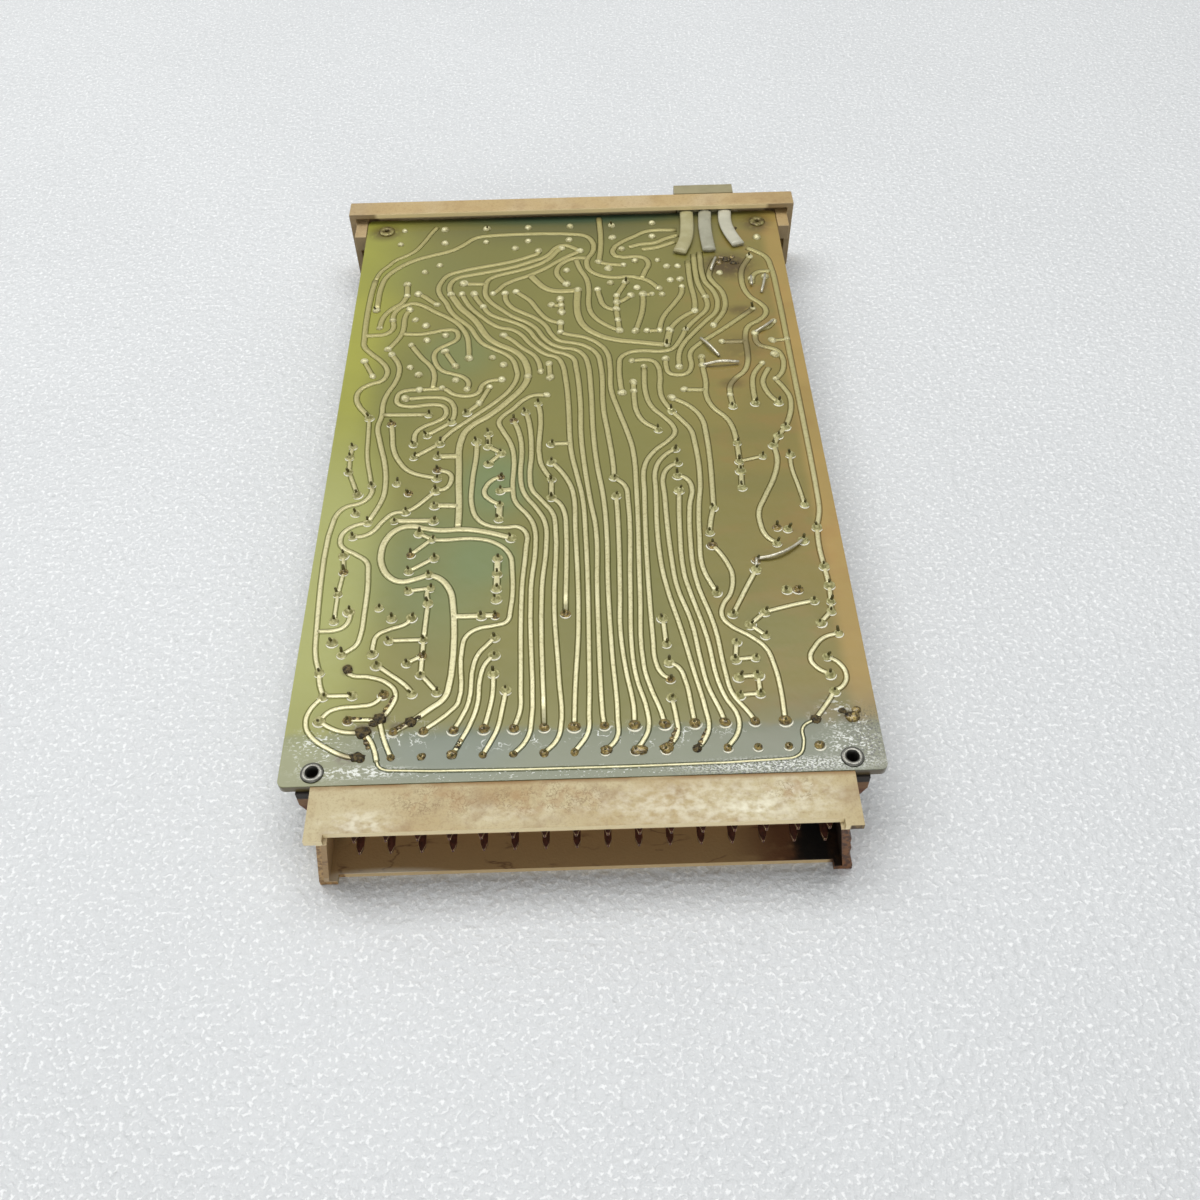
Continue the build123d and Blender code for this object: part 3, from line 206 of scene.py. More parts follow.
# Printed tracks of the solder side, in grid steps (column, row)
trackRoutes = [
    [(2.4, 25), (2.5, 24.2), (1.9, 23.2), (0.5, 22.6), (-0.1, 21.5), (-0.1, 10), (0.1, 8.3), (0.5, 7)],
    [(0.5, 7), (0.6, 6.2), (1, 5)], [(2, 12.3), (2.1, 11.9), (1.8, 11), (1.3, 10.7), (-0.1, 10.6)],
    [(1, 5), (0.2, 3.8), (0.1, 2.8), (0.5, 1.9), (2, 0.7), (3, 0.2), (4, 0)],
    [(5.1, 5), (4.5, 4.3), (3.5, 4.1), (2.2, 4), (1.5, 3.7), (1, 3)],
    [(1, 3), (1.5, 2.6), (2.6, 2.1), (4, 2)], [(2.9, 3), (4, 3), (5, 2.9)], [(5, 2.9), (5.4, 1.5), (6, 0)],
    [(4, 2), (4.5, 1.4), (4.9, 0.5), (5.1, -0.3)],
    [(2.4, 7.3), (2.6, 6.8), (4, 6.5), (5.2, 6), (5.9, 5.1), (5.6, 3.8), (5, 2.9)],
    [(6.5, 11.6), (6.2, 11.1), (5, 10.6), (4.2, 10.1), (4, 9.2), (4, 8.5)],
    [(4.4, 7.5), (5, 7), (6.8, 5.4), (7, 5)], [(7.7, 14.3), (7.5, 14), (7.6, 12.9)],
    [(7.5, 19.1), (8, 19), (11, 19), (12.5, 18.4), (13.4, 17.3), (13.6, 16), (13.55, 12), (13.3, 11),
     (12.5, 10.7), (11.2, 10.4), (10.5, 9.8), (10.25, 8.8), (10.2, 4.2), (9.8, 3.6), (8, 2)],
    [(12.5, 9.6), (12, 9), (11.4, 8.2), (11.1, 7.2), (10.9, 4.2), (10.4, 2.8), (10, 2)],
    [(12.5, 8.1), (11.9, 7.3), (11.6, 6.1), (11.5, 4), (11, 2.2), (10.6, 1.3), (10, 0)],
    [(12.5, 6.5), (12.5, 4.8), (12.3, 3.4), (12, 2)],
    [(13.4, 5.1), (13.2, 3.7), (12.9, 2), (12.5, 1), (12, 0)],
    [(10.5, 29.6), (10.5, 28), (10.3, 25), (10.4, 22.3), (10.9, 21), (11.8, 20.3), (13, 20.1), (14, 20.1),
     (14.6, 19.4), (14.6, 18), (14.35, 14), (14.4, 5), (14.4, 3.5), (14, 2)],
    [(16.1, 35), (15, 35), (14.3, 34.6), (13.3, 33.4), (12.4, 32.4), (12.2, 31.8), (12.5, 30.9), (13.2, 29.3),
     (13.5, 27.8), (13.5, 24), (13.7, 22.8), (14.8, 21.1), (15.2, 20), (15.3, 18), (15, 14), (15.1, 1.9),
     (14.7, 0.8), (14, 0)],
    [(13.4, 32), (13.8, 30.8), (14.1, 29), (14.1, 25), (14.4, 23.6), (15.4, 21.9), (16, 20.5), (16.1, 18),
     (15.8, 14), (16, 2)],
    [(14.4, 33), (14.7, 31.5), (14.9, 28), (14.8, 25.5), (15, 24), (15.7, 22.9), (16.6, 21.4), (16.8, 20),
     (16.7, 12), (17, 6), (17.1, 1.9), (16.8, 0.9), (16, 0)],
    [(15.4, 34), (15.6, 32.5), (15.6, 27.2), (16, 26), (16.5, 25.1)],
    [(16.5, 23.1), (17.1, 22.5), (17.5, 21.4), (17.6, 20), (17.5, 11.6)],
    [(16.5, 27), (17.1, 26.2), (17.9, 24.6), (18.2, 23.4), (18.3, 20), (18.4, 10.5), (18.1, 5), (18, 2)],
    [(8.4, 49), (8.7, 48.2), (9.3, 47), (10.3, 45.7), (11, 44.9), (12, 44.1), (13, 43.8), (13.9, 43),
     (14.5, 42), (15.2, 41.1), (16, 40.3), (17, 39.8), (17.4, 39), (17.7, 37), (17.9, 34), (18, 29.5),
     (18.1, 28), (18.5, 25.5), (18.9, 23), (19.05, 20), (19.1, 8), (19, 3), (18.9, 1.5), (18, 0)],
    [(9.5, 49), (9.8, 48.2), (10.4, 47.1)],
    [(10.4, 47.1), (10.9, 46.2), (11.8, 45.5), (12.8, 45), (13.9, 44.3), (14.6, 43.5), (15.1, 42.5),
     (15.8, 41.5), (16.7, 40.7), (17.8, 40.2), (18.4, 39.6), (18.6, 38.5), (18.9, 34), (18.9, 30),
     (19.1, 26.7), (19.5, 22.6), (19.85, 19.8), (19.8, 13.5), (19.9, 3), (20, 2)],
    [(17.5, 55.7), (17, 55.2), (16.6, 54.5), (16, 53.8), (15, 53.1), (13.5, 52.4), (12, 51.9), (11, 51.4),
     (10.6, 50.8), (10.5, 50), (10.5, 49), (10.9, 48), (12, 46.7), (13.1, 45.6), (14.4, 44.7), (15.2, 43.8),
     (15.8, 42.6), (16.5, 41.7), (17.5, 41.1), (18.6, 40.8), (19.3, 40), (19.6, 39), (19.8, 36), (19.9, 30),
     (20.1, 26.7), (20.5, 23.1), (20.65, 19.8), (20.6, 13.5), (20.7, 8), (20.9, 2.5), (20.8, 1), (20, 0)],
    [(12.3, 49), (12.4, 48), (13, 46.9), (14, 46.1), (15.1, 45.3), (16, 44.2), (16.5, 43), (17.2, 42.1),
     (18.5, 41.7), (19.4, 41.3), (20.4, 40.2), (20.7, 38.8), (20.8, 33), (21.1, 30), (21.4, 26.2),
     (21.4, 25.1)],
    [(21.4, 25.1), (22.2, 24.2), (22.4, 22.6), (22.2, 13.5), (22.1, 8), (22.3, 5.8), (22.9, 3), (22.9, 1.6),
     (22.5, 0.7), (22, 0)],
    [(21.5, 23.1), (21.55, 21), (21.45, 13.5), (21.35, 10), (21.6, 6.5), (22, 3.5), (22, 2)],
    [(13.3, 49.2), (14, 48.5), (14.6, 47.8), (15.2, 46.6), (16, 45.3), (16.8, 44.7), (17.3, 44.5)],
    [(17.3, 43.2), (18, 42.9), (19.5, 42.4), (20.7, 41.4), (21.3, 40.3), (21.5, 38.5), (21.5, 35.5), (22, 33),
     (22.7, 30), (23, 28.3), (23.1, 23.4), (22.9, 13.5), (22.85, 6.8), (23.2, 5), (23.8, 3), (24, 2)],
    [(24.4, 38.3), (24.4, 34.7), (24.8, 33.2), (25.8, 31.8), (26.4, 30.8), (26.5, 30), (26, 29.2),
     (24.7, 27.9), (23.9, 26.4), (23.7, 23.4), (23.6, 9), (23.7, 7), (24.1, 6), (24.6, 5.6)],
    [(26.4, 28.1), (25.6, 27.5), (24.8, 26.2), (24.6, 23.4), (24.55, 16.5), (24.9, 13.5), (25.6, 10),
     (26.2, 6.5), (26.8, 3), (26.9, 1.6), (26.5, 0.6), (26, 0)],
    [(26.5, 26.5), (25.8, 26.1), (25.3, 25.2), (25.25, 23), (25.4, 16), (25.6, 13.8), (26.4, 10.5), (26.8, 7),
     (27.1, 5), (27.8, 2.8), (28, 2)],
    [(26.4, 23.5), (26.2, 20), (26.2, 15), (26.4, 13.8), (27.4, 9), (27.8, 5.5), (28.2, 4), (28.9, 2.4),
     (28.8, 1.2), (28, 0)],
    [(26.4, 25.1), (27, 24.8), (27.4, 23.9), (27.1, 21.8), (26.9, 18.5), (27, 14.6), (28, 10), (28.4, 6),
     (28.7, 4.3), (29.7, 2.6), (30, 2)],
    [(23.4, 39.1), (24.5, 39.2), (25.2, 39), (25.6, 38.3), (25.7, 37), (25.6, 35.5), (25.7, 34.3),
     (26.4, 32.6)],
    [(26.4, 32.6), (27.2, 31.4), (27.8, 30.3), (28, 29), (28.1, 24.3), (27.8, 21.8), (27.6, 18.5),
     (27.6, 15.6), (28.4, 13.1)],
    [(26.5, 34.2), (27.3, 33.7), (28.2, 32.8), (28.8, 31.6), (29, 30), (28.95, 22.5), (28.9, 21.5)],
    [(28.9, 21.5), (28.6, 20.3), (28.4, 19)],
    [(28.5, 17.7), (29, 16.9), (29.5, 15.7), (29.7, 14.8), (29.4, 13), (28.8, 12), (28.6, 11), (29, 10.2),
     (30.5, 9), (31.4, 8), (31.8, 6.5), (32, 4.5), (32, 2)],
    [(31.5, 15.2), (30.6, 13.5), (30.2, 12.7), (29.4, 11.1)],
    [(24.6, 7), (25.2, 6.6), (25.6, 5.5), (25.9, 3), (26, 2)],
    [(24.6, 4.1), (24.8, 2.4), (24.8, 1.2), (24, 0)], [(35.3, 12.1), (33.5, 11.7), (31.7, 11.2)],
    [(36.6, 9.1), (35.6, 8.8), (34.8, 8), (34.35, 7), (34.7, 6.2), (35.5, 5.6)],
    [(35.5, 7.1), (36.2, 6.6), (36.6, 5.6), (36.3, 4.7), (35.6, 4.2)], [(35.6, 4.2), (35, 3.3), (34, 2)],
    [(2.7, 40.8), (3.4, 39.4), (3.5, 38.3), (3.3, 37.2), (2.7, 35.6), (2.5, 34.5), (2.5, 33), (2.3, 31.6),
     (2.6, 30), (3.3, 27), (3.5, 25), (3.4, 23.5), (2.5, 21)],
    [(2.5, 21), (1.5, 20.7), (0.8, 20.1), (0.6, 19.3), (0.8, 18.6), (1.9, 17.8), (2.8, 17), (3, 16),
     (3.1, 12), (3, 10), (2.8, 9.3), (1.9, 8.5)],
    [(1.5, 19.6), (2.2, 19.6), (2.9, 20), (3.7, 21.2), (4.4, 21.9), (5.3, 22)],
    [(5.3, 22), (5.9, 22.4), (7, 23.6), (7.5, 24.2)],
    [(7.5, 24.2), (8.2, 24.4), (8.6, 25.1), (8.5, 26), (7.5, 26.5)],
    [(3.4, 32), (3.6, 30.5), (3.8, 29), (4.4, 27.5), (5.3, 26.4), (7, 25.7), (7.5, 25.6)],
    [(19.2, 55.2), (18.4, 55.9), (17.6, 56.2), (16.9, 55.8), (16.4, 55), (15.7, 54.3), (14.5, 53.7), (13, 53),
     (11, 52.4), (9, 51.9), (8, 51.6), (7.4, 51), (7.2, 50), (7.4, 49)],
    [(12.5, 25.5), (11.9, 25.2), (11.4, 24.5), (11.3, 23.7), (11.8, 23), (12.5, 22.5)],
    [(29.4, 39.3), (29.4, 38), (29.5, 36), (29.4, 34.5), (29.8, 33), (30.8, 31.6), (31.2, 30.5),
     (31.4, 28.6)],
    [(34.3, 28.2), (34.4, 26.7), (34, 24.9), (32.9, 22.4), (32.35, 21.1), (32.3, 19.8), (32.6, 18.5),
     (33.3, 17.7)],
    [(34.9, 55), (35.8, 54.3), (36.5, 53.5), (36.8, 52), (36.95, 48), (37, 40), (37, 22), (36.9, 20.8),
     (36.5, 19.2)],
    [(36.5, 19.2), (36.4, 17.2), (36.5, 15.3)], [(36.7, 51.3), (35.6, 51.2), (35, 50.6), (34.8, 49.5)],
    [(0.3, 51.5), (0.1, 49), (0.1, 43), (0.2, 42), (0.9, 41), (1.8, 40), (2.4, 39), (2.5, 38.3), (2.1, 37.4),
     (1.2, 37), (0.4, 36.3), (0.2, 35.3), (0.5, 34.3), (1.1, 33.4), (1.5, 32.8)],
    [(0.1, 43.5), (1, 43.5), (2, 43.7), (2.5, 44.4), (2.4, 45.5)],
    [(26.3, 49.1), (25.3, 50.4), (24.5, 50.8), (24, 51), (22, 51), (20.9, 51.4), (20.1, 52.1), (19.8, 53),
     (19.9, 54), (20.3, 54.8), (20.5, 55.7), (20.4, 56.6), (19.9, 57.5), (19, 57.9), (10, 58), (9.2, 57.7),
     (8.3, 56.8), (7.2, 55.9), (5.5, 55.2), (4, 54.6), (2.8, 53.8), (2, 53), (1.4, 52.2), (1, 51), (0.8, 47)],
    [(3.8, 47), (3.5, 46.2), (3.4, 44), (3.2, 43.2), (2.3, 41.5)],
    [(3.4, 43.6), (5, 43.5), (6, 43.7), (7.3, 44), (8, 43.9), (8.3, 43.3), (8.2, 42.6), (7.5, 42),
     (6.7, 41.4), (6.4, 40.8), (6.5, 39.7), (7.2, 38.5), (8.2, 38), (9, 37.6), (9.5, 36.8), (9.4, 36)],
    [(4.3, 42), (5.3, 40.3), (6.1, 39.2), (6.5, 38.2), (6.5, 36.1)],
    [(12.3, 37.1), (11.3, 37), (10.7, 36.5), (10.4, 35.6), (9.8, 35.2), (9, 35.2), (8.2, 35.5), (7.7, 36),
     (7.3, 36.2)],
    [(5.4, 36.1), (4.5, 36.1), (3.8, 35.8), (3.6, 35.2), (3.7, 34.5), (4.4, 34.1), (6.8, 34.2), (7.5, 34),
     (7.8, 33.4), (7.7, 32.7), (7.2, 32.2), (6, 31.5), (5.5, 30.9), (5.4, 29.5)],
    [(4.3, 35), (6.8, 35.1), (7.7, 34.9), (8.3, 34.2), (8.5, 33), (8.3, 32)],
    [(2.4, 45.5), (2.4, 46.3), (2.8, 47.2), (3.4, 47.7), (4.1, 47.9), (5, 47.5), (6.1, 46.6), (7.3, 45.7),
     (8.2, 44.8), (8.7, 44), (9.1, 43), (9.3, 41.7), (9.4, 40)],
    [(1.3, 44.5), (1.5, 46), (2.2, 47.2), (3, 48), (3.4, 49)],
    [(15.3, 55.4), (15.2, 55), (14.5, 54.6), (13.5, 54.1), (12, 53.6), (10, 53.1), (8, 52.5), (7, 52),
     (6.5, 51.2), (6.2, 50), (6.5, 48.8), (7, 47.9), (7.4, 46.8), (8, 45.8), (8.7, 45), (9.4, 44.1),
     (9.9, 43), (10.5, 42), (11.5, 41.2), (12.6, 40.4), (13.2, 39.6), (13.5, 38.5), (13.6, 37.5), (13, 35.8),
     (12, 34.5), (9.9, 32.4), (7.9, 30.3), (7.5, 29.5)],
    [(12.3, 43), (13, 42.4), (14, 41.2), (15, 40.2), (15.4, 39.3), (15.6, 38)],
    [(11.2, 49), (11.7, 49.6), (12.2, 50.3), (13, 50.9), (14, 51.4), (14.7, 51.8), (16, 52.7), (17, 53.6),
     (18, 54.4), (19.2, 55.2)],
    [(17.9, 50.1), (17.3, 51), (17, 51.9), (17.2, 52.9), (17.8, 53.6), (18.7, 54.1), (19.8, 54.1)],
    [(18.8, 53.9), (19.2, 52.3), (19.7, 51), (19.9, 49.6), (19.9, 46.5), (20.3, 45.3), (21.2, 44.2),
     (22.5, 43.2)],
    [(21.1, 60.5), (21.2, 57), (21.1, 55), (20.9, 53.4)], [(20.9, 53.4), (21.6, 53.1), (23.2, 52.8)],
    [(28.5, 58.2), (25.6, 58.1), (24.5, 57.4), (23, 56.3), (22.4, 55.5), (22.3, 54.7), (22.7, 54.2),
     (24.9, 54), (25.4, 53.5), (25.5, 52.7), (25.2, 51.9), (24.8, 50.7)],
    [(23.8, 55.6), (24.8, 56), (26.2, 56.2), (27.3, 56.8), (28.6, 57.4)],
    [(25, 55.2), (26.2, 55.4), (27.2, 55.8), (28.2, 56.3)],
    [(20.7, 49.2), (20.9, 48), (21.2, 46.9), (21.9, 46.3), (22.3, 46.2)],
    [(23.7, 48.2), (22.9, 47.5), (22.4, 47.2)], [(24.8, 48.3), (24.7, 46.5), (24.4, 44.9), (23.9, 43.1)],
    [(28.4, 49.3), (28.3, 48.4), (27.5, 46.8), (26.6, 45.3), (26.2, 44.2), (26, 43.1)],
    [(29.2, 53.2), (29.2, 50), (29.4, 47), (29.3, 45.7)],
    [(29.3, 45.7), (28.4, 45.1), (27.4, 44), (26.9, 43.1)],
    [(29.8, 54.2), (29.8, 51), (29.9, 49.7), (30.4, 47.7)],
    [(30.4, 47.7), (30.5, 46.6), (30.3, 45.8), (29.7, 45), (28.9, 44), (28.3, 43.1)],
    [(28.3, 43.1), (28.1, 42.6), (27.6, 41.5), (27, 40.6), (26.3, 40.3), (24, 40.4), (23.2, 40.2),
     (22.5, 39.6), (22.3, 38.5), (22.3, 36.5), (22.4, 35)],
    [(30.4, 54.5), (30.4, 51), (30.6, 49.8), (31.1, 48.8), (31.4, 47.6), (31.4, 46.5), (31.1, 45.4),
     (30.3, 44.4), (29, 42.7), (27.9, 41), (27.5, 39.8), (27.4, 38.1)],
    [(31.8, 53.4), (31.2, 51.8), (31, 50.8), (31.3, 49.8), (31.9, 48.6), (32.1, 47.5), (32, 46), (31.6, 45),
     (31.1, 44.2), (30.8, 43.6)],
    [(26.3, 39.2), (26.3, 38.2), (26.5, 37.4), (27.2, 37.1), (28, 37.3), (28.4, 38), (28.5, 40), (29.3, 41.1),
     (30.1, 41.8), (31.5, 43), (32.6, 44), (34.5, 45.8)],
    [(35, 53.6), (34.6, 52.8), (34.1, 51.7), (33.9, 50), (34, 48.8), (34.4, 47.6), (35.2, 46.6), (35.6, 45.8),
     (35.5, 44.9), (34.8, 44.1), (33.9, 43.4), (33.5, 42.4), (33.4, 40), (33.3, 38.6), (32.9, 37.4),
     (32, 36.4), (31.5, 35.5), (31.4, 34.4)],
    [(36.1, 43.9), (35.6, 43.2), (34.8, 42.8), (34.3, 42.3)],
    [(34.3, 42.3), (34.3, 41.3), (34.6, 40.7), (35.4, 40.3), (36, 39.9), (36.3, 39), (36.3, 38), (36, 37),
     (35.4, 36.2)],
    [(34.5, 38.3), (34, 37.6), (33.6, 36.8), (33.4, 35.5), (33.4, 33.3)],
    [(35, 37.7), (34.6, 36.9), (34.3, 36), (34.4, 35), (34.8, 34), (35.3, 33.3)],
    [(35.4, 36.2), (35.9, 35.2), (36.3, 34), (36.3, 33), (36, 31.6), (35.5, 30.3)],
    [(23.4, 35.2), (23.4, 34), (23.5, 32.8), (24, 31.5), (25.2, 30.4)],
    [(4.4, 49.2), (4.8, 49), (5.6, 48.2), (6.2, 47.6)],
]
# straight lines, joined where one starts at the end of another
trackSteps = [
    [(1, 5), (3, 5)], [(7.6, 12.9), (7.5, 9.6), (7.5, 8.2), (7.5, 6.6), (8.7, 5.1)], [(5.1, 9.6), (7.5, 9.6)],
    [(6.5, 7.6), (7.5, 8.2)], [(6.1, 14.1), (7.7, 14.3)], [(16.5, 25.1), (16.5, 23.1)],
    [(16.5, 29.1), (18, 29.1)], [(8.5, 50.6), (10.5, 50.5)], [(17.3, 44.5), (17.3, 43.2)],
    [(24.4, 10.9), (24.5, 8.6)], [(29.4, 8.6), (29.2, 7.1), (30.6, 7.2)],
    [(29.3, 5.6), (30.6, 5.7), (30.6, 4.2)], [(29.2, 4.1), (30.6, 4.2)],
    [(31.7, 11.2), (30.5, 10.1), (31.5, 9.1)], [(36.6, 13.5), (36.5, 12), (36.4, 11.1), (35.5, 10.1)],
    [(2.5, 33.1), (6.4, 33)], [(5.5, 28), (7.5, 29.5)], [(6.5, 19.7), (7.5, 19.1), (6, 17.6)],
    [(6, 16), (7.8, 17.2)], [(11.4, 30.5), (11.4, 29), (12.5, 28.2), (11.5, 27)],
    [(31.4, 28.6), (31.4, 26.5), (31.4, 25.4), (31.3, 23.6)], [(27.6, 35.2), (29.4, 35.1)],
    [(35.5, 30.3), (34.8, 29.3), (34.3, 28.2)], [(36.5, 15.3), (36.6, 13.5)], [(7.3, 36.2), (5.4, 36.1)],
    [(8.3, 32), (6.4, 30.5)], [(7.3, 41), (8.3, 39)], [(16.3, 39), (16.4, 37.2)],
    [(11.3, 36.2), (10.5, 34.2), (9.5, 33.1)],
    [(22.4, 48.2), (22.4, 47.2), (22.3, 46.2), (22.4, 44.7), (22.5, 43.2)], [(23.3, 50.2), (22.4, 48.2)],
    [(24.8, 48.3), (25.6, 48.3)], [(24.9, 43.1), (26, 43.1)], [(31.4, 34.4), (31.5, 33)],
    [(31.3, 41.3), (33.4, 41.3)], [(23.4, 36.3), (23.4, 35.2)], [(17.3, 47.9), (17.4, 47), (17.4, 46)],
    [(16.5, 47.1), (17.4, 47)], [(3.3, 50.7), (3.4, 49)],
]
wideRoutes = [
    [(7.5, 15.6), (8.3, 15.2), (9, 14.3), (9.35, 13.2), (9.45, 5.2), (9.1, 4.4), (8.4, 3.8), (7.1, 2.7)],
    [(7.4, 49), (7.8, 48.2), (8.4, 47), (9.4, 45.7), (10, 44.7), (10.4, 43.8), (11, 42.7), (11.9, 41.8),
     (13.1, 41), (13.9, 40.1), (14.4, 38.8), (14.5, 37.4), (14.2, 36.3), (12.9, 34.4), (11.4, 32.7),
     (9.9, 31.4), (9.3, 30.3), (9.2, 26), (9.4, 22), (9.4, 20.2)],
    [(7.5, 15.6), (6.5, 15.2), (5.5, 15), (4.7, 15.4), (4, 16.5), (3.8, 18), (4.1, 19.3), (4.8, 20.2),
     (5.8, 20.5), (7, 20.2), (8, 20), (10, 20), (11.5, 19.7), (13.5, 19)],
    [(14.6, 51.6), (15.2, 50.6), (15.9, 49.7), (16.8, 49.2), (18.9, 49.2)],
    [(18.9, 49.2), (18.8, 47), (18.9, 45.5), (19.4, 44), (20.4, 42.9), (21.8, 42.1), (24, 41.6),
     (26.5, 41.1)],
]
wideSteps = [
    [(9.4, 11.6), (11.5, 11.6), (12.5, 11.6)], [(7.1, 2.7), (6, 2)], [(7.4, 28), (9.2, 28)],
    [(7.5, 22.6), (9.3, 22.5)], [(4.5, 21.1), (7.5, 21)], [(12.5, 24), (13.5, 24.1)],
    [(12.5, 22.5), (12.5, 21)], [(12.5, 17), (12.5, 15.5), (12.5, 14.1)], [(26.5, 41.1), (26.9, 43.1)],
]
rimRoutes = [
    [(5.1, -0.3), (5.3, -0.7), (5.9, -0.98), (31.3, -1), (32.6, -0.7), (33, 0.2), (33.1, 1.4), (34, 2)],
]
thinRoutes = [
    [(5.5, 59.7), (5, 58.7), (4.4, 57.3), (3.7, 56), (3, 55.3), (1.9, 54.5), (1.4, 53.8), (0.7, 52.8),
     (0.3, 51.5)],
    [(1.5, 32.8), (1.6, 31), (1.8, 28), (2.2, 26), (2.4, 25)],
    [(35.5, 27.1), (35.4, 25.9), (35.7, 23.4), (35.9, 21.6)],
]
thinSteps = [
    [(0.5, 29.4), (0.4, 28.2), (0.5, 26.5), (1.4, 24)], [(1, 17.7), (1.2, 16.1), (1, 14), (1, 11.5)],
    [(31.4, 26.5), (33.3, 27)], [(0.4, 40), (1.3, 38)], [(35.7, 41.3), (37, 41.4)],
]


# Shading helpers: each adds its nodes to the tree that its first socket belongs to
def combine(operation, *values):
    return addNode(values[0].id_data, "Math", dict(enumerate(values)), operation=operation).outputs[0]


def times(first, second):
    return combine("MULTIPLY", first, second)


def parts(vector):
    return addNode(vector.id_data, "SeparateXYZ", {0: vector}).outputs


def ramp(value, start, end, low=0.0, high=1.0, curve="LINEAR"):
    # low at start, high at end
    ends = {"Value": value, "From Min": start, "From Max": end, "To Min": low, "To Max": high}
    return addNode(value.id_data, "MapRange", ends, interpolation_type=curve).outputs[0]


def eased(value, start, end, low=0.0, high=1.0):
    return ramp(value, start, end, low, high, "SMOOTHSTEP")


def below(value, limit, soft=0.2):
    # 1 where value is under limit, in mm
    return eased(value, (limit + soft) * mm, limit * mm)


def above(value, limit, soft=0.2):
    return eased(value, (limit - soft) * mm, limit * mm)


def tint(factor, under, over):
    # lays one colour over another, each a hex code or a socket
    under, over = [linearColour(colour) if isinstance(colour, str) else colour for colour in (under, over)]
    mix = addNode(factor.id_data, "MixRGB", {"Fac": factor, "Color1": under, "Color2": over})
    return mix.outputs[0]


def stain(colour, mask, strength, over):
    return tint(times(mask, strength), colour, over)


def spot(place, centre, reach, edge=0.5):
    # a soft oval, 1 in its middle and 0 outside; centre and reach are (across, along) in mm over the board
    tree = place.id_data
    middle = (centre[0] * mm, centre[1] * mm + boardLow.y, 0)
    shift = addNode(tree, "VectorMath", {0: place, 1: middle}, operation="SUBTRACT").outputs[0]
    shares = (1 / (reach[0] * mm), 1 / (reach[1] * mm), 0)
    scaled = addNode(tree, "VectorMath", {0: shift, 1: shares}, operation="MULTIPLY").outputs[0]
    far = addNode(tree, "VectorMath", {0: scaled}, operation="LENGTH").outputs["Value"]
    return eased(far, edge, 1.0, 1.0, 0.0)


def gathered(place, spots, edge=0.2):
    # one mask from several (middle, reach) ovals
    ovals = [spot(place, centre, reach, edge) for centre, reach in spots]
    whole = ovals[0]
    for oval in ovals[1:]:
        whole = combine("MAXIMUM", whole, oval)
    return whole


def cloud(place, size, detail, stretch=(1, 1, 1)):
    # plain noise with features about size mm across
    vector = addNode(place.id_data, "Mapping", {"Vector": place, "Scale": stretch}).outputs[0]
    inputs = {"Vector": vector, "Scale": 1 / (size * mm), "Detail": detail}
    return addNode(place.id_data, "TexNoise", inputs).outputs[0]


def grain(place, size, detail=3, low=0.35, high=0.65, stretch=(1, 1, 1)):
    # noise spread so that it is 0 up to low and 1 from high
    return eased(cloud(place, size, detail, stretch), low, high)


def scribble(place, size, width):
    # thin wandering lines, where noise crosses its middle value
    off = combine("ABSOLUTE", combine("SUBTRACT", cloud(place, size, 4), 0.5))
    return ramp(off, 0.0, width, 1.0, 0.0)


def facing(place, axis):
    # the surface normal's share along an axis
    return parts(addNode(place.id_data, "NewGeometry").outputs["Normal"])[axis]


def facingFront(place):
    return ramp(facing(place, 1), -0.6, -0.9)


def bump(shader, height, depth):
    # depth in mm
    node = addNode(shader.id_data, "Bump", {"Height": height, "Strength": 1.0, "Distance": depth * mm})
    shader.id_data.links.new(node.outputs[0], shader.inputs["Normal"])


def fineBump(shader, place, size, depth, detail=3):
    bump(shader, grain(place, size, detail, 0.2, 0.8), depth)


laminate = {"olive": "#7E7939", "lime": "#9B9B38", "pale": "#A3A666", "brown": "#877433", "amber": "#A88A48",
            "grey": "#5B6753", "dark": "#6A6A30", "green": "#6E7F50", "panelShadow": "#2F4A38", "shade": "#454224",
            "flux": "#EEF0E8", "rust": "#9C7038", "burn": "#4E3C0C", "soot": "#17150F", "cut": "#4A3416"}
# soft patches of the laminate: (middle, reach) in mm over the board, colour and strength
patches = [
    ((-48, 45), (16, 50), "pale", 0.7), ((-16, 68), (11, 13), "green", 0.8),
    ((-3, 62), (14, 18), "dark", 0.35), ((34, 66), (14, 5), "dark", 0.3), ((30, 80), (16, 4), "dark", 0.25),
    ((36, 28), (12, 14), "green", 0.2), ((28, 40), (10, 4), "dark", 0.3),
    ((-26, 108), (12, 12), "green", 0.4), ((22, 112), (12, 10), "dark", 0.25),
    ((-34, 138), (16, 12), "green", 0.12), ((6, 128), (14, 10), "dark", 0.45),
    ((28, 135), (10, 10), "dark", 0.35), ((-26, 46), (18, 24), "green", 0.5),
    # the 'shade' patch at (0, 162) is painted shadow of the panel's rim
    ((-18, 48), (9, 9), "green", 0.6), ((0, 162), (60, 17), "shade", 0.55), ((4, 48), (16, 44), "dark", 0.45),
    # the 'grey' patch at (-22, 6) is painted sheen over flux haze
    ((5, 78), (13, 34), "olive", 0.5), ((-38, 96), (9, 28), "dark", 0.5), ((-22, 6), (16, 7), "grey", 0.75),
    # painted shadow right under the panel's rim
    ((2, 161), (46, 7), "panelShadow", 0.9),
]
# dried flux near the connector: middle, reach, size of the flecks in mm, how sparse they are
fluxStreaks = [
    ((-44, 8), (7, 4), 0.4, 0.55), ((-37, 2.3), (13, 1.7), 0.35, 0.48), ((-2, 1.4), (60, 1.6), 0.3, 0.6),
    ((33, 1.5), (24, 2.0), 0.25, 0.46), ((45, 5), (7, 6), 0.3, 0.53), ((43, 12), (4, 3), 0.5, 0.54),
]
crustPatches = [((-42, 7), (10, 8)), ((-31, 9), (9, 5)), ((8, 8), (26, 3.5)), ((-12, 8), (12, 3)),
                ((44, 9), (8, 6))]
grimePatches = [((30, 1), (24, 3)), ((48, 6), (5, 9))]
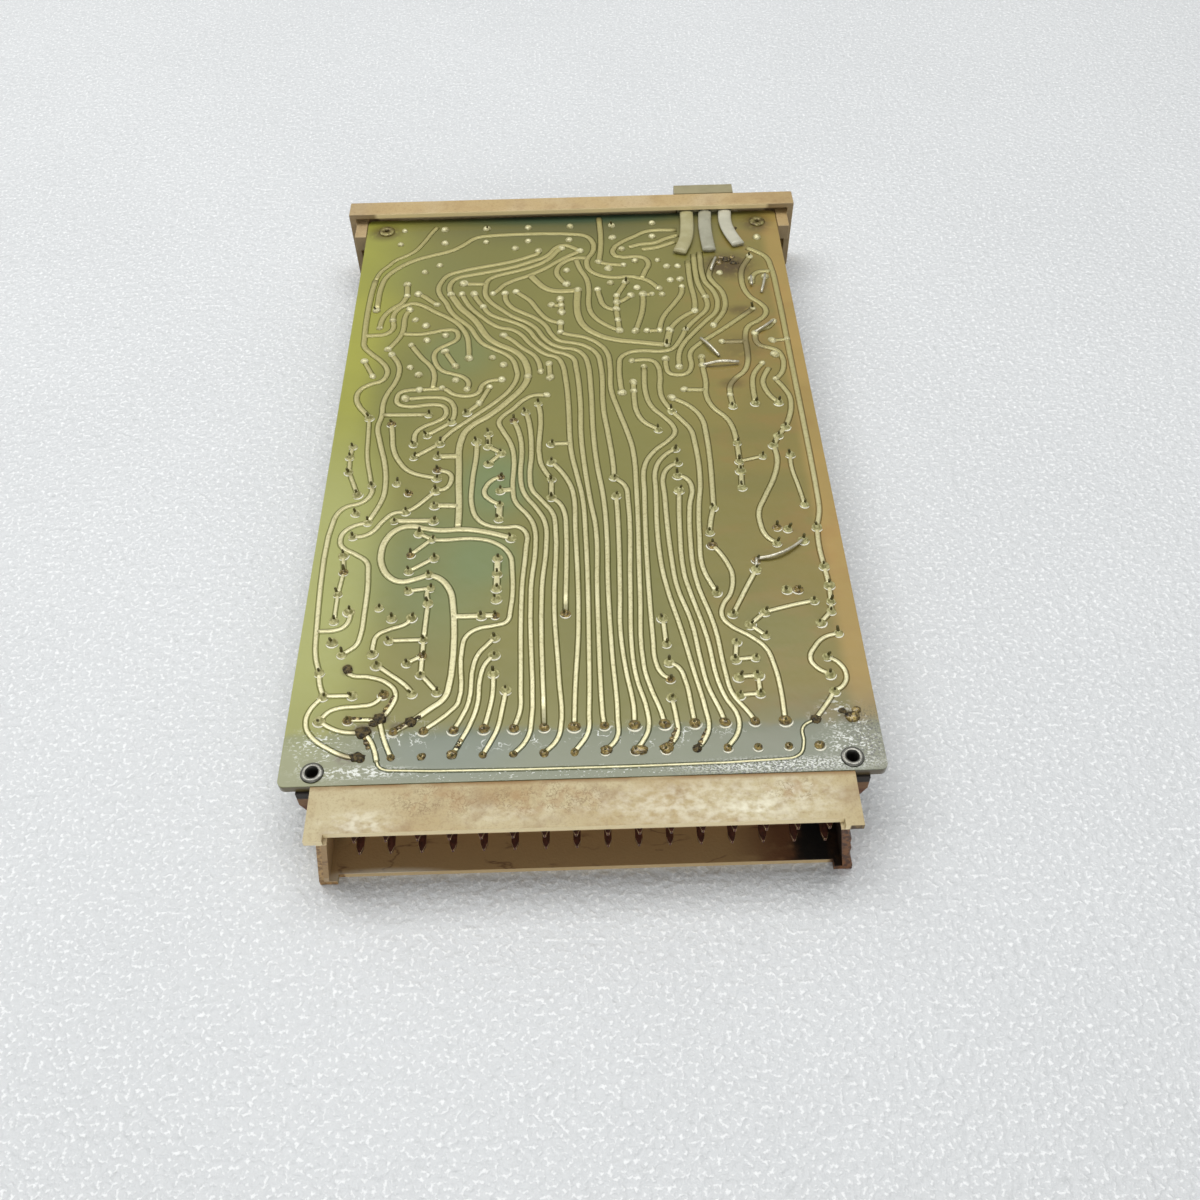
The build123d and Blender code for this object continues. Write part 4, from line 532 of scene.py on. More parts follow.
# scorched places: middle, reach and strength
burnMarks = [
    ((36.5, 138.0), (8.5, 7.0), 1.0), ((36.5, 108.0), (8.0, 6.0), 0.35), ((33.5, 96.0), (4.0, 2.5), 0.5),
    ((-40.9, 23.2), (1.5, 1.7), 0.8), ((-36.8, 10.6), (2.8, 1.8), 0.9), ((-34.0, 12.8), (2.0, 1.5), 0.9),
    ((-31.0, 11.2), (2.4, 1.3), 0.7), ((-45.5, 155.0), (5.5, 4.5), 0.85), ((45.0, 155.0), (5.0, 5.5), 0.85),
    ((38.0, 121.0), (5.0, 2.5), 0.6), ((45.0, 10.6), (2.2, 2.0), 0.6), ((-39.4, 5.0), (2.4, 1.6), 0.85),
]


def laminateColour(place):
    # olive through the middle, lime at the left edge, browner to the right, with soft patches and marks
    across, along, up = parts(place)
    toLeft = eased(across, -24 * mm, -50 * mm)
    toRight = eased(across, 12 * mm, 40 * mm)
    rightEdge = eased(across, 44.5 * mm, 47.5 * mm)
    leftGlow = times(times(toLeft, toLeft), spot(place, (-50, 85), (60, 100), 0.6))
    colour = tint(leftGlow, laminate["olive"], laminate["lime"])
    colour = stain(colour, toRight, 0.7, laminate["brown"])
    colour = tint(times(rightEdge, spot(place, (50, 80), (30, 95), 0.7)), colour, laminate["amber"])
    rusty = times(grain(place, 9, 3, 0.48, 0.68, (1, 1.6, 1)), toRight)
    colour = stain(colour, rusty, 0.3, laminate["rust"])
    # darker towards the panel: painted shade under its rim
    colour = stain(colour, spot(place, (0, 160), (60, 34), 0.2), 0.5, laminate["dark"])
    colour = stain(colour, grain(place, 22, 2), 0.25, laminate["dark"])
    for centre, reach, shade, strength in patches:
        colour = stain(colour, spot(place, centre, reach, 0.3), strength, laminate[shade])

    # haze, dried flux and painted sheen in the band beside the connector: the grey band is partly the lamps'
    # reflection painted in
    firstRows = boardLow.y / mm + 9
    rippled = combine("ADD", along, times(grain(place, 4), 0.9 * mm))
    nearBand = times(below(rippled, firstRows + 0.2, 2.0), eased(across, -46 * mm, -30 * mm, 0.6))
    colour = stain(colour, nearBand, 0.68, laminate["grey"])
    colour = stain(colour, times(below(along, firstRows, 11), toRight), 0.45, laminate["grey"])
    for centre, reach, size, start in fluxStreaks:
        streaks = grain(place, size, 6, start, start + 0.09, (0.6, 1, 1))
        colour = stain(colour, times(streaks, spot(place, centre, reach, 0.2)), 0.7, laminate["flux"])
    crust = times(scribble(place, 1.8, 0.025), grain(place, 3, 3, 0.48, 0.6))
    colour = stain(colour, times(crust, gathered(place, crustPatches)), 0.9, laminate["flux"])
    grime = times(grain(place, 0.3, 3, 0.5, 0.6), gathered(place, grimePatches))
    colour = stain(colour, grime, 0.7, laminate["soot"])

    cutEdge = times(facingFront(place), below(up, boardHigh.z / mm - 0.35, 0.3))
    colour = stain(colour, cutEdge, 0.75, laminate["cut"])
    broken = grain(place, 1.3, 4, 0.22, 0.48)
    for centre, reach, strength in burnMarks:
        colour = stain(colour, times(spot(place, centre, reach, 0.2), broken), strength, laminate["burn"])
    return colour


def lacqueredLaminate():
    # glass-epoxy board under yellowed lacquer: an uneven olive sheet with a soft gloss
    material, shader, place = newMaterial("lacqueredGlassEpoxy", Roughness=0.4, Coat_Weight=0.6,
                                          Coat_Roughness=0.07)
    setColour(shader, laminateColour(place))
    fineBump(shader, place, 3.0, 0.03, 2)
    return material


tinned = {"far": "#B4AB70", "near": "#DAD4AA", "dull": "#A89F68", "fine": "#948C58", "scorched": "#6E5C3C",
          "outline": "#666032", "paintedFootShade": "#38340F", "farEnd": 45 * mm, "nearEnd": -70 * mm, "skirt": 0.03}


def tinnedTrack():
    # tinned copper under lacquer: pale domed lines, whiter towards the connector as painted reflection, with
    # a dark edge on their slopes as painted shade
    material, shader, place = newMaterial("tinnedTrack", Roughness=0.36, Metallic=0.35, Coat_Weight=0.3,
                                          Coat_Roughness=0.12)
    across, along, up = parts(place)
    # whiter towards the connector: painted reflection of the lamps
    near = eased(along, tinned["farEnd"], tinned["nearEnd"])
    colour = tint(near, tinned["far"], tinned["near"])
    colour = stain(colour, grain(place, 5), 0.25, tinned["dull"])
    colour = stain(colour, grain(place, 0.5, 3, 0.5, 0.68), 0.4, tinned["fine"])
    scorched = gathered(place, [mark[:2] for mark in burnMarks], 0.4)
    colour = stain(colour, scorched, 0.6, tinned["scorched"])
    # the sloping sides darker by their normal: painted shade
    edge = eased(facing(place, 2), 0.92, 0.45)
    colour = tint(times(edge, ramp(near, 0.0, 1.0, 0.45, 0.72)), colour, tinned["outline"])

    # the foot of each line is lacquer thinning out over the board, darkened there as painted shade
    skirtTop = boardHigh.z + tinned["skirt"] * mm
    skirt = ramp(up, skirtTop + 0.004 * mm, skirtTop)
    paintedFootShade = ramp(up, boardHigh.z, skirtTop, 0.0, 0.35)
    setColour(shader, tint(skirt, colour, tint(paintedFootShade, laminateColour(place), tinned["paintedFootShade"])))
    fineBump(shader, place, 0.9, 0.015)
    return material


def plainFinish(name, base, darker, size, amount, depth, metallic, roughness, **coat):
    # one finish with slow and fine variation of its colour; size and depth of the bumps in mm
    material, shader, place = newMaterial(name, Metallic=metallic, Roughness=roughness, **coat)
    setColour(shader, stain(linearColour(base), grain(place, size, 4), amount, darker))
    if depth:
        fineBump(shader, place, size * 0.3, depth)
    return material


boardFinish = lacqueredLaminate()
trackFinish = tinnedTrack()
solderFinish = plainFinish("tinLeadSolder", "#C4BF88", "#76713A", 0.8, 0.8, 0.04, 0.1, 0.32)
fluxFinish = plainFinish("fluxedSolder", "#A08A4A", "#40300F", 0.6, 0.85, 0.05, 0.4, 0.22,
                         Coat_Weight=0.8, Coat_Roughness=0.08)
# near white: painted highlight on the flux rims
rimHighlightFinish = plainFinish("fluxRimHighlight", "#FBF8E4", "#DEDABC", 0.9, 0.5, 0.0, 0.0, 0.35)
# dark pin stubs: tarnish and painted shade of their shaded side
tarnishAndShadeFinish = plainFinish("tarnishedLeadAndShade", "#5A5428", "#332E12", 0.5, 0.6, 0.02, 0.3, 0.35)
frostedFinish = plainFinish("frostedSolder", "#D8D2A6", "#9C9460", 1.0, 0.8, 0.06, 0.25, 0.34)
charFinish = plainFinish("charredSolder", "#6A5A34", "#1A150C", 0.6, 0.95, 0.1, 0.3, 0.3)
wireFinish = plainFinish("tinnedCopperWire", "#D6D1BC", "#98927A", 0.9, 0.5, 0.02, 0.6, 0.3)


def agedMoulding(name, base, pale, blot, amount=0.35):
    # glass-filled polyester gone beige with age: blotched, with brown grime in its moulded skin
    material, shader, place = newMaterial(name, Roughness=0.5)
    colour = tint(grain(place, 12), base, pale)
    colour = stain(colour, grain(place, 5, 4, 0.48, 0.7), amount, blot)
    colour = stain(colour, grain(place, 0.8, 3, 0.5, 0.75), 0.25, blot)
    colour = stain(colour, grain(place, 0.35, 2, 0.5, 0.7), 0.22, blot)
    fineBump(shader, place, 0.5, 0.03)
    return material, shader, place, colour


# colours, and places in mm; the cavity's side walls lean, so that |x| + wallLean * z is wallLine
housing = {"base": "#B19C6E", "pale": "#BFB188", "stain": "#80592F", "inside": "#A2845A", "red": "#5A2A16",
           "soot": "#14110E", "chalk": "#E9E4CC", "scribble": "#7C6034", "wash": "#A07A48", "back": "#866028",
           "paintedFrontLight": "#F2E0B2", "lowerLip": "#C2A678", "leftWall": "#A67E48", "leftMottle": "#5E3E1A",
           "ear": "#6E562E", "earMottle": "#33200C", "crack": "#4A2616", "paintedFloorLight": "#E8DEC8",
           "broken": "#7A4E28", "brokenMottle": "#34180A", "lug": "#7A5632", "lowerLug": "#5E2C14",
           "lugShade": "#160F08", "wallLean": 1.9 / 12.6, "wallLine": 43.83, "cavityTop": 13.7,
           "cavityFloor": 1.1, "lipTop": 1.3, "leftEnd": -40.6, "rightEnd": 42.5, "lugLine": 44.2,
           "lugFront": -79.9, "lowerLugTop": 9.6, "burnStart": 36, "burnEnd": 39.5}
chalkPatches = [((-36, -7.0), (9, 3.5), 0.7), ((27, -6.2), (5.5, 2.4), 1.0), ((24, -5.5), (24, 8.0), 0.6),
                ((8, -5), (16, 5), 0.4), ((-12, -6), (14, 3), 0.3), ((36, -4), (9, 5), 0.4)]
scribblePatches = [((-24, -3.5), (10, 4.5)), ((-6, -3.5), (15, 4.5)), ((34, -3), (7, 3))]


def connectorMoulding():
    # the aged housing: scribbled with brown on top, dark inside, and burnt at its right-hand end
    material, shader, place, colour = agedMoulding("agedPolyesterHousing", housing["base"], housing["pale"],
                                                   housing["stain"])
    x, y, z = parts(place)
    alongShell = addNode(place.id_data, "Mapping", {"Vector": place, "Scale": (0.35, 1, 1)}).outputs[0]
    for centre, reach, strength in chalkPatches:
        chalk = times(spot(place, centre, reach, 0.1), grain(place, 1.1, 6, 0.3, 0.72, (0.7, 1, 1)))
        colour = stain(colour, chalk, strength, housing["chalk"])
    lines = times(scribble(place, 0.7, 0.055), grain(place, 3, 3, 0.36, 0.56))
    for centre, reach in scribblePatches:
        colour = stain(colour, times(lines, spot(place, centre, reach, 0.4)), 0.75, housing["scribble"])
        wash = times(grain(place, 2.4, 4, 0.45, 0.65), spot(place, centre, reach, 0.2))
        colour = stain(colour, wash, 0.5, housing["wash"])

    # faces turned to the front, lightened below as painted light
    front = facingFront(place)
    mottle = grain(place, 0.9, 4, 0.42, 0.58)
    backEdge = times(ramp(y, boardLow.y - 0.9 * mm, boardLow.y - 0.2 * mm), grain(alongShell, 3, 3, 0.2, 0.5))
    leftWall = times(front, times(below(x, housing["leftEnd"], 0.3), below(z, 13.5)))
    rightEar = times(front, above(x, housing["rightEnd"], 0.4))
    line = combine("ADD", combine("ABSOLUTE", x), times(z, housing["wallLean"]))
    # inside the cavity: darker as dirt and painted shade
    inside = times(below(line, housing["wallLine"], 0.1), below(z, housing["cavityTop"], 0.05))
    inside = times(inside, above(z, housing["cavityFloor"], 0.05))
    redness = times(times(eased(x, 22 * mm, 34 * mm), inside),
                    times(below(z, 3, 5), grain(alongShell, 4, 3, 0.35, 0.5)))
    cracks = times(times(scribble(alongShell, 5, 0.02), inside), grain(place, 9, 2, 0.48, 0.6))
    # a pale strip on the cavity floor: painted light
    paintedFloorLight = times(below(z, 2.2, 0.3), spot(place, (-33, -9.4), (14, 1.9), 0.3))
    ragged = combine("ADD", x, times(grain(place, 5), 3 * mm))
    sooty = eased(ragged, housing["burnStart"] * mm, housing["burnEnd"] * mm)
    brokenEnd = times(ramp(x, 40.5 * mm, 41.5 * mm), below(z, housing["cavityTop"], 0.1))
    brokenEnd = times(brokenEnd, below(y, -81.5, 0.5))
    burntWall = times(times(ramp(facing(place, 1), -0.9, -0.6), sooty), inside)
    lugs = times(above(line, housing["lugLine"], 0.1), above(y, housing["lugFront"], 0.1))
    lugs = times(lugs, below(z, 13.65, 0.05))
    # laid one over the other in this order
    layers = [
        # front faces lightened towards the top's colour: painted light; the strip at their foot browner
        (backEdge, 0.85, "back"), (front, 0.85, "paintedFrontLight"),
        (times(front, below(z, housing["lipTop"])), 0.85, "lowerLip"),
        (leftWall, 0.85, "leftWall"), (times(leftWall, mottle), 0.7, "leftMottle"), (rightEar, 0.95, "ear"),
        # the cavity darkened: dirt and painted shade
        (times(rightEar, mottle), 0.8, "earMottle"), (inside, 1.0, "inside"), (redness, 0.8, "red"),
        # the pale strip on the cavity floor is painted light
        (cracks, 0.7, "crack"), (times(paintedFloorLight, inside), 0.85, "paintedFloorLight"),
        (times(sooty, inside), 1.0, "soot"), (brokenEnd, 0.97, "broken"),
        (times(brokenEnd, mottle), 0.85, "brokenMottle"), (burntWall, 0.85, "soot"), (lugs, 0.92, "lug"),
        (times(lugs, below(z, housing["lowerLugTop"], 0.6)), 0.8, "lowerLug"),
        (times(lugs, above(z, 12.2, 0.3)), 0.98, "lugShade"),
    ]
    for mask, strength, shade in layers:
        colour = stain(colour, mask, strength, housing[shade])
    setColour(shader, colour)
    return material


def panelMoulding():
    # the same aged moulding, more even, darker at its ends as painted shade, with its front-facing back face
    # lightened as painted light
    material, shader, place, colour = agedMoulding("agedPanelMoulding", "#B89F6E", "#BFAA80", "#80592F", 0.22)
    width = combine("ABSOLUTE", parts(place)[0])
    # darker towards both ends: painted shade on the end plates
    colour = stain(colour, ramp(width, 44 * mm, 54 * mm), 0.3, "#7E6238")
    # faces turned to the front, the panel's back face, lightened: painted light
    innerLip = facingFront(place)
    colour = stain(colour, innerLip, 0.85, "#F0DCA8")
    # the front-facing faces at the very ends darkened again: painted shade
    endFaces = ramp(width, 47.5 * mm, 48.5 * mm)
    setColour(shader, stain(colour, times(innerLip, endFaces), 0.8, "#6A5232"))
    return material


housingFinish = connectorMoulding()
panelFinish = panelMoulding()
socketFinish = plainFinish("greySocketMoulding", "#968E6C", "#77704F", 5, 0.5, 0.02, 0.0, 0.5)
brassFinish = plainFinish("turnedBrass", "#B08D4A", "#7C6030", 1.5, 0.4, 0.01, 0.9, 0.3)
rivetFinish = plainFinish("dullTinnedBrass", "#8F8E86", "#55534B", 1.0, 0.6, 0.02, 0.8, 0.32)
# dark sides and bore of the rivets: painted shade
rivetShade = plainFinish("rivetSideShade", "#3E3D38", "#24231F", 1.0, 0.6, 0.02, 0.6, 0.4)
contactFinish = plainFinish("blackenedContact", "#5E3428", "#34201A", 0.8, 0.6, 0.02, 0.3, 0.4)
# pale bevel finish: painted highlight
contactRim = plainFinish("contactEdgeHighlight", "#D2BC8C", "#8E7444", 0.8, 0.5, 0.0, 0.4, 0.35)
lacqueredRivet = plainFinish("lacqueredRivet", "#8E8552", "#4A3A1C", 1.2, 0.9, 0.04, 0.4, 0.35)
print("stage: finishes made")


board = {"weld": 0.002, "edge": 0.12, "edgeSegments": 2, "sharpAbove": 40}
boardPiece = nodes["circuit_board"]
paintNode("circuit_board", boardFinish)
boardPiece.modifiers.new("weldTriangles", "WELD").merge_threshold = board["weld"] * mm
softenEdges(boardPiece, board["edge"], board["edgeSegments"], board["sharpAbove"])


def sectionCurve(name, section):
    # a closed outline in mm, to sweep along routes
    profile = bpy.data.curves.new(name + "Section", "CURVE")
    profile.dimensions = "2D"
    outline = profile.splines.new("POLY")
    outline.points.add(len(section) - 1)
    for point, (x, y) in zip(outline.points, section):
        point.co = (x * mm, y * mm, 0, 1)
    outline.use_cyclic_u = True
    holder = bpy.data.objects.new(name + "Section", profile)
    bpy.context.collection.objects.link(holder)
    return holder


def routeMesh(name, groups, swell=0.0):
    # lays each group of grid routes as smooth lines with one section; swell widens them towards the panel
    whole = bmesh.new()
    for routes, section, height in groups:
        curve = bpy.data.curves.new(name, "CURVE")
        curve.dimensions = "3D"
        curve.twist_mode = "Z_UP"
        curve.resolution_u = 5
        curve.bevel_mode = "OBJECT"
        curve.bevel_object = sectionCurve(name, section)
        curve.use_fill_caps = True
        for route in routes:
            spline = curve.splines.new("BEZIER")
            spline.bezier_points.add(len(route) - 1)
            for knot, (column, row, *lift) in zip(spline.bezier_points, route):
                knot.co = onBoard(column, row, height + sum(lift))
                knot.radius = 1 + swell * max(row, 0) / tracks["farRow"]
                knot.handle_left_type = knot.handle_right_type = "AUTO"
        holder = bpy.data.objects.new(name, curve)
        bpy.context.collection.objects.link(holder)
        bpy.context.view_layer.update()
        ready = holder.evaluated_get(bpy.context.evaluated_depsgraph_get())
        mesh = bpy.data.meshes.new_from_object(ready)
        whole.from_mesh(mesh)
        bpy.data.meshes.remove(mesh)
        for used in (holder, curve.bevel_object):
            bpy.data.objects.remove(used)
    bmesh.ops.remove_doubles(whole, verts=whole.verts[:], dist=0.001 * mm)
    bmesh.ops.recalc_face_normals(whole, faces=whole.faces[:])
    for face in whole.faces:
        face.smooth = True
    return whole


def domed(width, height, steps=8):
    # a flat-topped arch, with the lacquer thinning out over the board along each foot
    arch = []
    for n in range(steps + 1):
        across, up = math.cos(math.pi * n / steps), math.sin(math.pi * n / steps)
        arch.append((math.copysign(abs(across) ** 0.75, across) * width / 2, 0.03 + abs(up) ** 0.6 * height))
    skirt = [(width / 2 + 0.22, 0.0), (width / 2 + 0.02, 0.028)]
    return skirt + arch + [(-x, y) for x, y in reversed(skirt)] + [(-width / 2, -0.02), (width / 2, -0.02)]


def roundSection(width, height, sides):
    return [(math.cos(math.tau * n / sides) * width / 2, math.sin(math.tau * n / sides) * height / 2)
            for n in range(sides)]


def straights(chains):
    # each step of a chain as a line of its own
    return [pair for chain in chains for pair in zip(chain, chain[1:])]


# widths in mm, and how high each kind stands
tracks = {"width": 0.68, "wide": 0.94, "thin": 0.52, "rim": 0.36, "height": 0.12, "low": 0.096,
          "farSwell": 0.5, "farRow": 60}
trackMesh = routeMesh("solderSideTracks", [
    (trackRoutes + straights(trackSteps), domed(tracks["width"], tracks["height"]), 0.0),
    (wideRoutes + straights(wideSteps), domed(tracks["wide"], tracks["height"]), 0.0),
    (rimRoutes, domed(tracks["rim"], tracks["low"]), 0.0),
    (thinRoutes + straights(thinSteps), domed(tracks["thin"], tracks["low"]), 0.0)], tracks["farSwell"])
newPiece("solderSideTracks", trackMesh, [trackFinish], "solder_side_tracks")
print("stage: tracks laid")


random.seed(7)
# browned and farPins are shares of the joints; rows and columns in grid steps
joint = {"steps": 10, "browned": 0.09, "farPins": 0.06, "firstRows": 2.6, "farRows": 34, "rimmedFrom": 20,
         "firstSize": 0.82, "rimRadius": 1.12, "rimWidth": 0.2}
jointCone = [(0, -0.02), (1.0, -0.02), (0.98, 0.04), (0.86, 0.1), (0.7, 0.16), (0.55, 0.36), (0.42, 0.62),
             (0.34, 0.74), (0, 0.78)]
jointEye = [(0, -0.02), (0.98, -0.02), (0.96, 0.05), (0.84, 0.16), (0.66, 0.36), (0.48, 0.5), (0.3, 0.56),
            (0, 0.58)]
jointBlob = [(0, -0.02), (0.96, -0.02), (0.94, 0.12), (0.82, 0.36), (0.58, 0.56), (0.3, 0.66), (0, 0.7)]
pinStub = [(0, 0.1), (0.3, 0.1), (0.26, 1.4), (0.18, 1.54), (0, 1.56)]
jointFinishes = [solderFinish, fluxFinish, tarnishAndShadeFinish, frostedFinish, rimHighlightFinish, charFinish]
# joints and flux burnt to dark lumps: (column, row), size across in mm and stretch; then crusted runs
charred = {"height": 0.55, "roughness": 0.34, "crust": 0.75, "step": 0.55, "reach": 0.6}
charredLumps = [((4, 2), 2.3, 1.1), ((5, 3.05), 2.2, 1.1), ((4.6, 2.7), 1.3, 1.2), ((7.1, 2.75), 1.9, 1.1),
                ((3.8, 0.1), 1.8, 1.4), ((35.9, 2.6), 1.2, 1.2), ((36.9, 2.75), 0.9, 1.3),
                ((26, 0), 1.3, 1.0), ((34, 2), 1.7, 1.0), ((32.8, 53.2), 1.7, 1.5), ((33.5, 52.7), 1.3, 1.6),
                ((2.45, 7.1), 1.6, 1.0), ((33.9, 58.2), 1.2, 1.4)]
crustedLumps = [((10, 0.1), 1.8, 1.0), ((20.1, 0.1), 1.8, 1.2), ((22.2, 0), 1.9, 1.5), ((24, 0.1), 1.9, 1.2),
                ((36.5, 2.1), 2.1, 1.2), ((36.8, 2.6), 1.4, 1.2), ((12, 2.1), 1.5, 1.2), ((8, 0), 1.5, 1.0),
                ((32.1, 52.8), 1.3, 1.2), ((32.4, 53.6), 1.1, 1.5), ((33.4, 53.6), 1.0, 1.2)]
crustRuns = [((6.2, 2.15), (7.9, 3.3)), ((10.1, 0.3), (10.6, 1.3)), ((3.3, 3.1), (4.8, 3.0)),
             ((5.1, 3.3), (5.9, 5.0)), ((4.1, 1.7), (4.5, 0.6)), ((24.2, 0.3), (24.8, 1.7)),
             ((26.2, 0.3), (26.8, 1.6))]


def placeJoint(point, turn, size, lean=0.0, stretch=1.0, tall=1.0):
    leaning = Matrix.Rotation(lean, 4, "X")
    return (Matrix.Translation(point) @ Matrix.Rotation(turn, 4, "Z") @ leaning
            @ Matrix.Diagonal((size * stretch, size, size * tall, 1)))


def highlightRimArc():
    # a raised crescent of dried flux on the side towards the connector, near white as painted highlight
    bm = bmesh.new()
    turns = [math.radians(angle) for angle in range(200, 341, 20)]
    rings = []
    for n, turn in enumerate(turns):
        thick = joint["rimWidth"] * math.sin(math.pi * (n + 0.6) / (len(turns) + 0.2))
        ring = []
        for reach, lift in ((-thick, 0.0), (0.0, thick * 0.45), (thick, 0.0)):
            radius = (joint["rimRadius"] + reach) * mm
            ring.append(bm.verts.new((math.cos(turn) * radius, math.sin(turn) * radius, lift * mm)))
        rings.append(ring)
    for near, far in zip(rings, rings[1:]):
        for a, b in ((0, 1), (1, 2), (2, 0)):
            bm.faces.new((near[a], near[b], far[b], far[a]))
    bm.faces.new(rings[0])
    bm.faces.new(rings[-1])
    bmesh.ops.recalc_face_normals(bm, faces=bm.faces[:])
    return bm


cones, eyes, blobs, brown, burnt, stubs, rims = [], [], [], [], [], [], []
for solid in separateSolids("solder_joints"):
    centre = solid[0]
    centre.z = boardHigh.z
    column, row = gridPlace(centre)
    turn, size = random.uniform(0, math.tau), random.uniform(0.84, 1.06)
    stretch = random.uniform(0.95, 1.2)
    where = placeJoint(centre, turn, size, 0.0, stretch)
    pin = placeJoint(centre, turn, random.uniform(0.85, 1.1), random.uniform(0.05, 0.42))
    rim = placeJoint(centre, random.uniform(-0.6, 0.6), size)
    if any(math.dist((column, row), lump[0]) < charred["reach"] for lump in charredLumps):
        burnt.append(where)
    elif row < joint["firstRows"]:
        small = joint["firstSize"] if row < 1 else 1.0
        eyes.append(placeJoint(centre, turn, size * small, 0.0, stretch))
        stubs.append(placeJoint(centre, turn, 0.9, 0.2, tall=random.uniform(0.5, 0.7)))
        if row > 1 or column > joint["rimmedFrom"]:
            rims.append(placeJoint(centre, random.uniform(-0.3, 0.3), size * small * 1.14))
    elif row > joint["farRows"]:
        blobs.append(placeJoint(centre, turn, size * random.uniform(0.85, 1.08), 0.0, stretch))
        if random.random() < joint["farPins"]:
            stubs.append(pin)
    else:
        (brown if random.random() < joint["browned"] else cones).append(where)
        stubs.append(pin)
        rims.append(rim)
jointMesh = bmesh.new()
for profile, places, finish in ((jointCone, cones, 0), (jointCone, brown, 1), (jointEye, eyes, 1),
                                (jointEye, burnt, 5), (jointBlob, blobs, 3)):
    addCopies(jointMesh, spinProfile(profile, joint["steps"]), places, finish)
addCopies(jointMesh, spinProfile(pinStub, 6), stubs, 2)
# near-white crescents on the connector side: painted highlight
addCopies(jointMesh, highlightRimArc(), rims, 4)
newPiece("solderJoints", jointMesh, jointFinishes, "solder_joints")


def charLump(target, point, across, stretch, finish, fineness=3):
    # adds a low lump roughened with noise
    bm = bmesh.new()
    bmesh.ops.create_icosphere(bm, subdivisions=fineness, radius=across * mm / 2)
    for vert in bm.verts:
        swell = noise.noise((vert.co * 1.6 + point) / mm) + 0.5 * noise.noise((vert.co * 4 - point) / mm)
        vert.co *= 1 + charred["roughness"] * swell
    bmesh.ops.scale(bm, vec=(stretch, 1, charred["height"]), verts=bm.verts)
    addCopies(target, bm, [Matrix.Translation(point)], finish)


charMesh = bmesh.new()
for finish, lumps in enumerate((charredLumps, crustedLumps)):
    for (column, row), across, stretch in lumps:
        charLump(charMesh, onBoard(column, row), across, stretch, finish)
for start, end in crustRuns:
    start, end = onBoard(*start), onBoard(*end)
    count = int((end - start).length / (charred["step"] * mm)) + 1
    for n in range(count):
        across = charred["crust"] * random.uniform(0.7, 1.3)
        charLump(charMesh, start.lerp(end, n / count), across, 1.2, n % 2, 2)
newPiece("charredLumps", charMesh, [charFinish, fluxFinish])

bentWires = {"width": 0.62, "sides": 8, "lift": 0.42}
# (column, row) and, where the wire rises, a height in mm
wireRoutes = [
    [(35.3, 17.9), (34.3, 17, 0.3), (33, 16.3, 0.4), (31.6, 16.1)],
    [(31.6, 16.1, 0.1), (31.5, 15.2)],
    [(36.1, 43.9), (35.3, 43, 0.4), (34.3, 42.3)],
    [(36.1, 50.6), (35.9, 49.5, 0.4), (35.5, 48)],
    [(34.8, 50.4), (34.7, 49.0, 0.3)],
    [(29.4, 38.1), (30.8, 38.2, 0.7), (32.5, 38.3, 0.2)],
    [(29.5, 41.7), (30.2, 40.4, 0.5), (30.9, 39.3)],
    [(31.8, 53.4), (31.5, 52.4, 0.4), (31.2, 51.5)],
]
wireSection = roundSection(bentWires["width"], bentWires["width"], bentWires["sides"])
wireMesh = routeMesh("clinchedLeads", [(wireRoutes, wireSection, bentWires["lift"])])
newPiece("clinchedLeads", wireMesh, [wireFinish], "clinched_leads")
print("stage: solder joints and bent leads made")


softCopy("connector_housing", "connectorHousing", housingFinish, 0.18, 3)


def bladeCopy(nodeName, pieceName):
    # contact blades with rounded edges, their bevels pale as painted highlight
    bm = mergedCopy(nodeName)
    bmesh.ops.bevel(bm, geom=bm.edges[:], offset=0.1 * mm, offset_type="OFFSET", segments=2, profile=0.5,
                    affect="EDGES", material=-1, clamp_overlap=True)
    for face in bm.faces:
        face.smooth = True
        # faces off the main axes, the bevels, take the pale painted highlight
        face.material_index = 1 if max(abs(part) for part in face.normal) < 0.9 else 0
    bmesh.ops.recalc_face_normals(bm, faces=bm.faces[:])
    newPiece(pieceName, bm, [contactFinish, contactRim], nodeName)


bladeCopy("contacts_upper_row", "contactsUpperRow")
bladeCopy("contacts_lower_row", "contactsLowerRow")

rivet = {"barrel": 1.4, "flange": 0.4, "steps": 32}


def rivetCopies(nodeName, pieceName, bore, finishes):
    # tubular rivets: a rolled flange at both ends of a thin tube
    bm = bmesh.new()
    for centre, half in separateSolids(nodeName):
        outer, tall = half.x / mm, half.z / mm
        upper = [(bore, tall - 0.25), (bore + 0.2, tall - 0.02), (outer * 0.78, tall),
                 (outer * 0.97, tall - 0.16), (outer, tall - 0.3), (outer * 0.96, tall - rivet["flange"]),
                 (rivet["barrel"], tall - rivet["flange"])]
        lower = [(radius, -height) for radius, height in reversed(upper)]
        turned = spinProfile(upper + lower, rivet["steps"], True)
        for face in turned.faces:
            # the sides and bore take the darker finish: painted shade
            face.material_index = 0 if abs(face.normal.z) > 0.75 else 1
        addCopies(bm, turned, [Matrix.Translation(centre)])
    newPiece(pieceName, bm, finishes, nodeName)


rivetCopies("connector_rivets", "connectorRivets", 0.95, [rivetFinish, rivetShade])
rivetCopies("panel_rivets", "panelRivets", 0.5, [lacqueredRivet, lacqueredRivet])
print("stage: connector and rivets made")


softCopy("front_panel", "frontPanel", panelFinish, 0.25, 3)
softCopy("test_socket_block", "testSocketBlock", socketFinish, 0.3, 3)
softCopy("test_jacks", "testJacks", brassFinish, 0.1, 2, 50)

